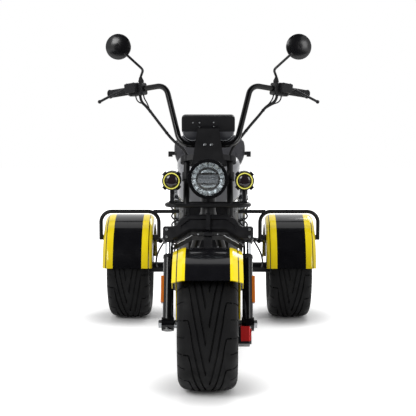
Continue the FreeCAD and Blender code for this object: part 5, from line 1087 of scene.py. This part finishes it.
# Floor mat: ribbed rubber glued on the deck plate
floorMat = {"halfWidth": 0.132, "front": -0.225, "length": 0.440, "top": 0.2932, "base": 1.6, "rib": 1.4,
            "plate": 2.8, "ribs": 22, "margin": 0.04}


def matPlace(u, v):
    look = floorMat
    ribbed = round(v * 4 * look["ribs"]) % 4 in (1, 2) and look["margin"] < u < 1 - look["margin"]
    return Vector(((2 * u - 1) * look["halfWidth"], look["front"] + look["length"] * v,
                   look["top"] + (look["base"] + look["rib"] * ribbed) / 1000))


mat = modelPlate("floorMat", 24, 4 * floorMat["ribs"], -floorMat["plate"], matPlace)
dress(mat, softRubber, "hose_rubber", "chassis")

# Tail lamps: black bezels with a raised lens ring
tailLamp = {
    "places": [(sign * 0.150, 0.950, 0.340) for hand, sign in hands],
    "bezel": [(30.5, -6), (34.0, -6), (34.9, -5), (34.9, -1), (33.8, -0.1), (31.5, -0.1), (30.5, -1),
              (30.5, -6)],
    "ring": [(17, -1.5), (20, -1.5), (20, -0.3), (19, -0.05), (18, -0.05), (17, -0.3), (17, -1.5)],
}
for name, part, sides, finish, slot in (("tailBezels", "bezel", 48, glossBlack, "lamp_black"),
                                        ("tailRings", "ring", 40, redAcrylic, "lamp_red")):
    dressTurned(name, tailLamp[part], tailLamp["places"], (0, 1, 0), sides, finish, slot, "chassis")
print("trim ready")

# Fender yoke: a pale strip along the front edge of its plate, drawn as bare sheared steel and pale so that it
# is a painted highlight along that edge
yokeEdgeHighlight = {"inner": 0.058, "step": 0.005, "count": 12, "front": -0.632, "reach": 90, "radius": 0.0016,
            "proud": (0, 0.0002, 0.0008)}


def modelYokeEdgeHighlights():
    look = yokeEdgeHighlight
    runs = []
    for hand, sign in hands:
        points = []
        for step in range(look["count"]):
            x = sign * (look["inner"] + look["step"] * step)
            for deep in range(look["reach"]):  # back in steps of 1 mm until the plate's top is met
                start = Vector((x, look["front"] + 0.001 * deep, 1))
                met, place, normal, face = nodes["fender_yoke"].ray_cast(start, Vector((0, 0, -1)))
                if met and normal.z > 0.2:
                    points.append(place + Vector(look["proud"]))
                    break
        runs.append(curveMesh(drawCurve("yokeEdgeHighlight", "POLY", points, look["radius"], 2)))
    dress(joinPieces("yokeEdgeHighlights", runs), edgeHighlight, "axle_steel", "steering")


modelYokeEdgeHighlights()

# Control blocks: a screwed reservoir cap on top, and switches on the rider's side. Places are in mm.
controls = {
    "base": (250.05, -285.43, 1086.0), "way": (0.8777, 0.4600, -0.1342), "level": (-0.4642, 0.8858, 0),
    "up": (0.1188, 0.0623, 0.9910), "capMiddle": (40, -24), "capHalf": 21, "capRise": 25.8, "capStep": 1.2,
    "capEdge": 0.9, "capThickness": 1.8, "screws": ((25, -39), (55, -39), (25, -9), (55, -9)),
    "screwRise": 25.6, "screwSize": 0.0019, "switches": ((14, 2), (36, 9), (46, -8)), "switchReach": 60,
    "button": [(0, 3.4), (3.4, 3.2), (4.3, 2.4), (4.5, 0.4), (5.4, 0.3), (5.4, -0.5), (0, -0.5)],
    "housing": [(11.2, 52), (22.6, 52), (23.6, 57), (22.8, 62), (20.6, 67), (18.6, 70.8), (17.8, 71.4),
                (11.2, 71.4), (11.2, 52)],
    "bootPlace": 12,
    "boot": [(5.2, 27), (10.9, 27), (11.3, 30), (10.6, 33), (8.2, 39), (6.6, 44.5), (6.2, 46), (5.2, 46.2),
             (5.2, 27)],
}


def modelControls():
    look = controls
    caps, screws, buttons, housings, boots = [], [], [], [], []
    for hand, sign in hands:
        base, way, level, up = [
            Vector((sign * x, y, z)) for x, y, z in (look["base"], look["way"], look["level"], look["up"])]

        def capPlace(u, v):
            x, y = [middle + (2 * share - 1) * look["capHalf"]
                    for middle, share in zip(look["capMiddle"], (u, v))]
            edge = max(abs(2 * u - 1), abs(2 * v - 1))
            lift = look["capRise"] - (look["capStep"] if edge > look["capEdge"] else 0)
            return (base + way * x + level * y + up * lift) / 1000

        cap = modelPlate("cap", 12, 12, 0, capPlace)
        selectAll(cap)
        bpy.ops.mesh.extrude_region_move(
            TRANSFORM_OT_translate={"value": tuple(-up * look["capThickness"] / 1000)})
        bpy.ops.mesh.select_all(action="SELECT")
        bpy.ops.mesh.normals_make_consistent(inside=False)
        leaveEdit()
        caps.append(cap)
        for x, y in look["screws"]:
            place = (base + way * x + level * y + up * look["screwRise"]) / 1000
            screws.append((place, up, look["screwSize"]))
        housings.append(modelTurned("housing", look["housing"], base / 1000, way, 48))
        boots.append(modelTurned("boot", look["boot"], (base + way * look["bootPlace"]) / 1000, up, 32))
        for x, z in look["switches"]:
            start = (base + way * x + up * z + level * look["switchReach"]) / 1000
            hit = onSurface("control_blocks", start, -level)
            if hit:
                buttons.append(modelTurned("button", look["button"], hit[0], level, 24))
    for name, pieces, finish in (("reservoirCaps", caps, mouldedBlack), ("switchButtons", buttons, cupFinish),
                                 ("gripHousings", housings, mouldedBlack)):
        dress(joinPieces(name, pieces), finish, "control_plastic", "steering")
    dress(joinPieces("mirrorBoots", boots), softRubber, "grip_rubber", "steering")
    return screws


capScrews = modelControls()

# Cable ties: nylon bands that hold each bundle together
cableTie = [(5.2, -1.6), (6.5, -1.6), (6.5, 1.6), (5.2, 1.6), (5.2, -1.6)]
ties = []
for route in cables["points"].values():
    for low in (2, 4):
        start, end = Vector(route[low]), Vector(route[low + 1])
        ties.append(modelTurned("tie", cableTie, start.lerp(end, 0.5), end - start, 20))
dress(joinPieces("cableTies", ties), mouldedBlack, "control_plastic", "steering")
print("controls ready")

# Seat stitches: thick thread along the cover's upper seam
seam = seatEdge(riderSeat["seamLevel"], riderSeat["seamPoints"])
stitches = []
for first, second in zip(seam[::2], seam[1::2]):
    found, place, normal, face = seatPiece.closest_point_on_mesh((first + second) / 2)
    stitches.append((place + normal * riderSeat["stitchProud"], second - first, 1))
deselect()
bpy.ops.mesh.primitive_uv_sphere_add(segments=8, ring_count=6, radius=1, location=(0, 0, 0))
stitch = bpy.context.object
stitch.scale = riderSeat["stitch"]
finishPlace(stitch)
placeCopies("seatStitches", stitch, "chassis", stitches, "seat_leather", threadFinish)

cowlScrews = ((-0.26, 0.60), (-0.09, 0.60), (0.04, 0.60), (-0.26, 0.43), (0.04, 0.43))
caseScrews = [(y, 0.262) for y in (-0.19, -0.05, 0.07, 0.19)]
for name, node, size, screws in (("cowlScrews", "body_cowl", 0.0036, cowlScrews),
                                 ("caseScrews", "battery_case", 0.003, caseScrews)):
    starts = [(sign, *screw) for hand, sign in hands for screw in screws]
    boltsOn(name, socketBolt, "chassis", node, size, starts)
placeCopies("capScrews", socketBolt, "steering", capScrews)
for master in (stitch, hexBolt, socketBolt):
    bpy.data.objects.remove(master)
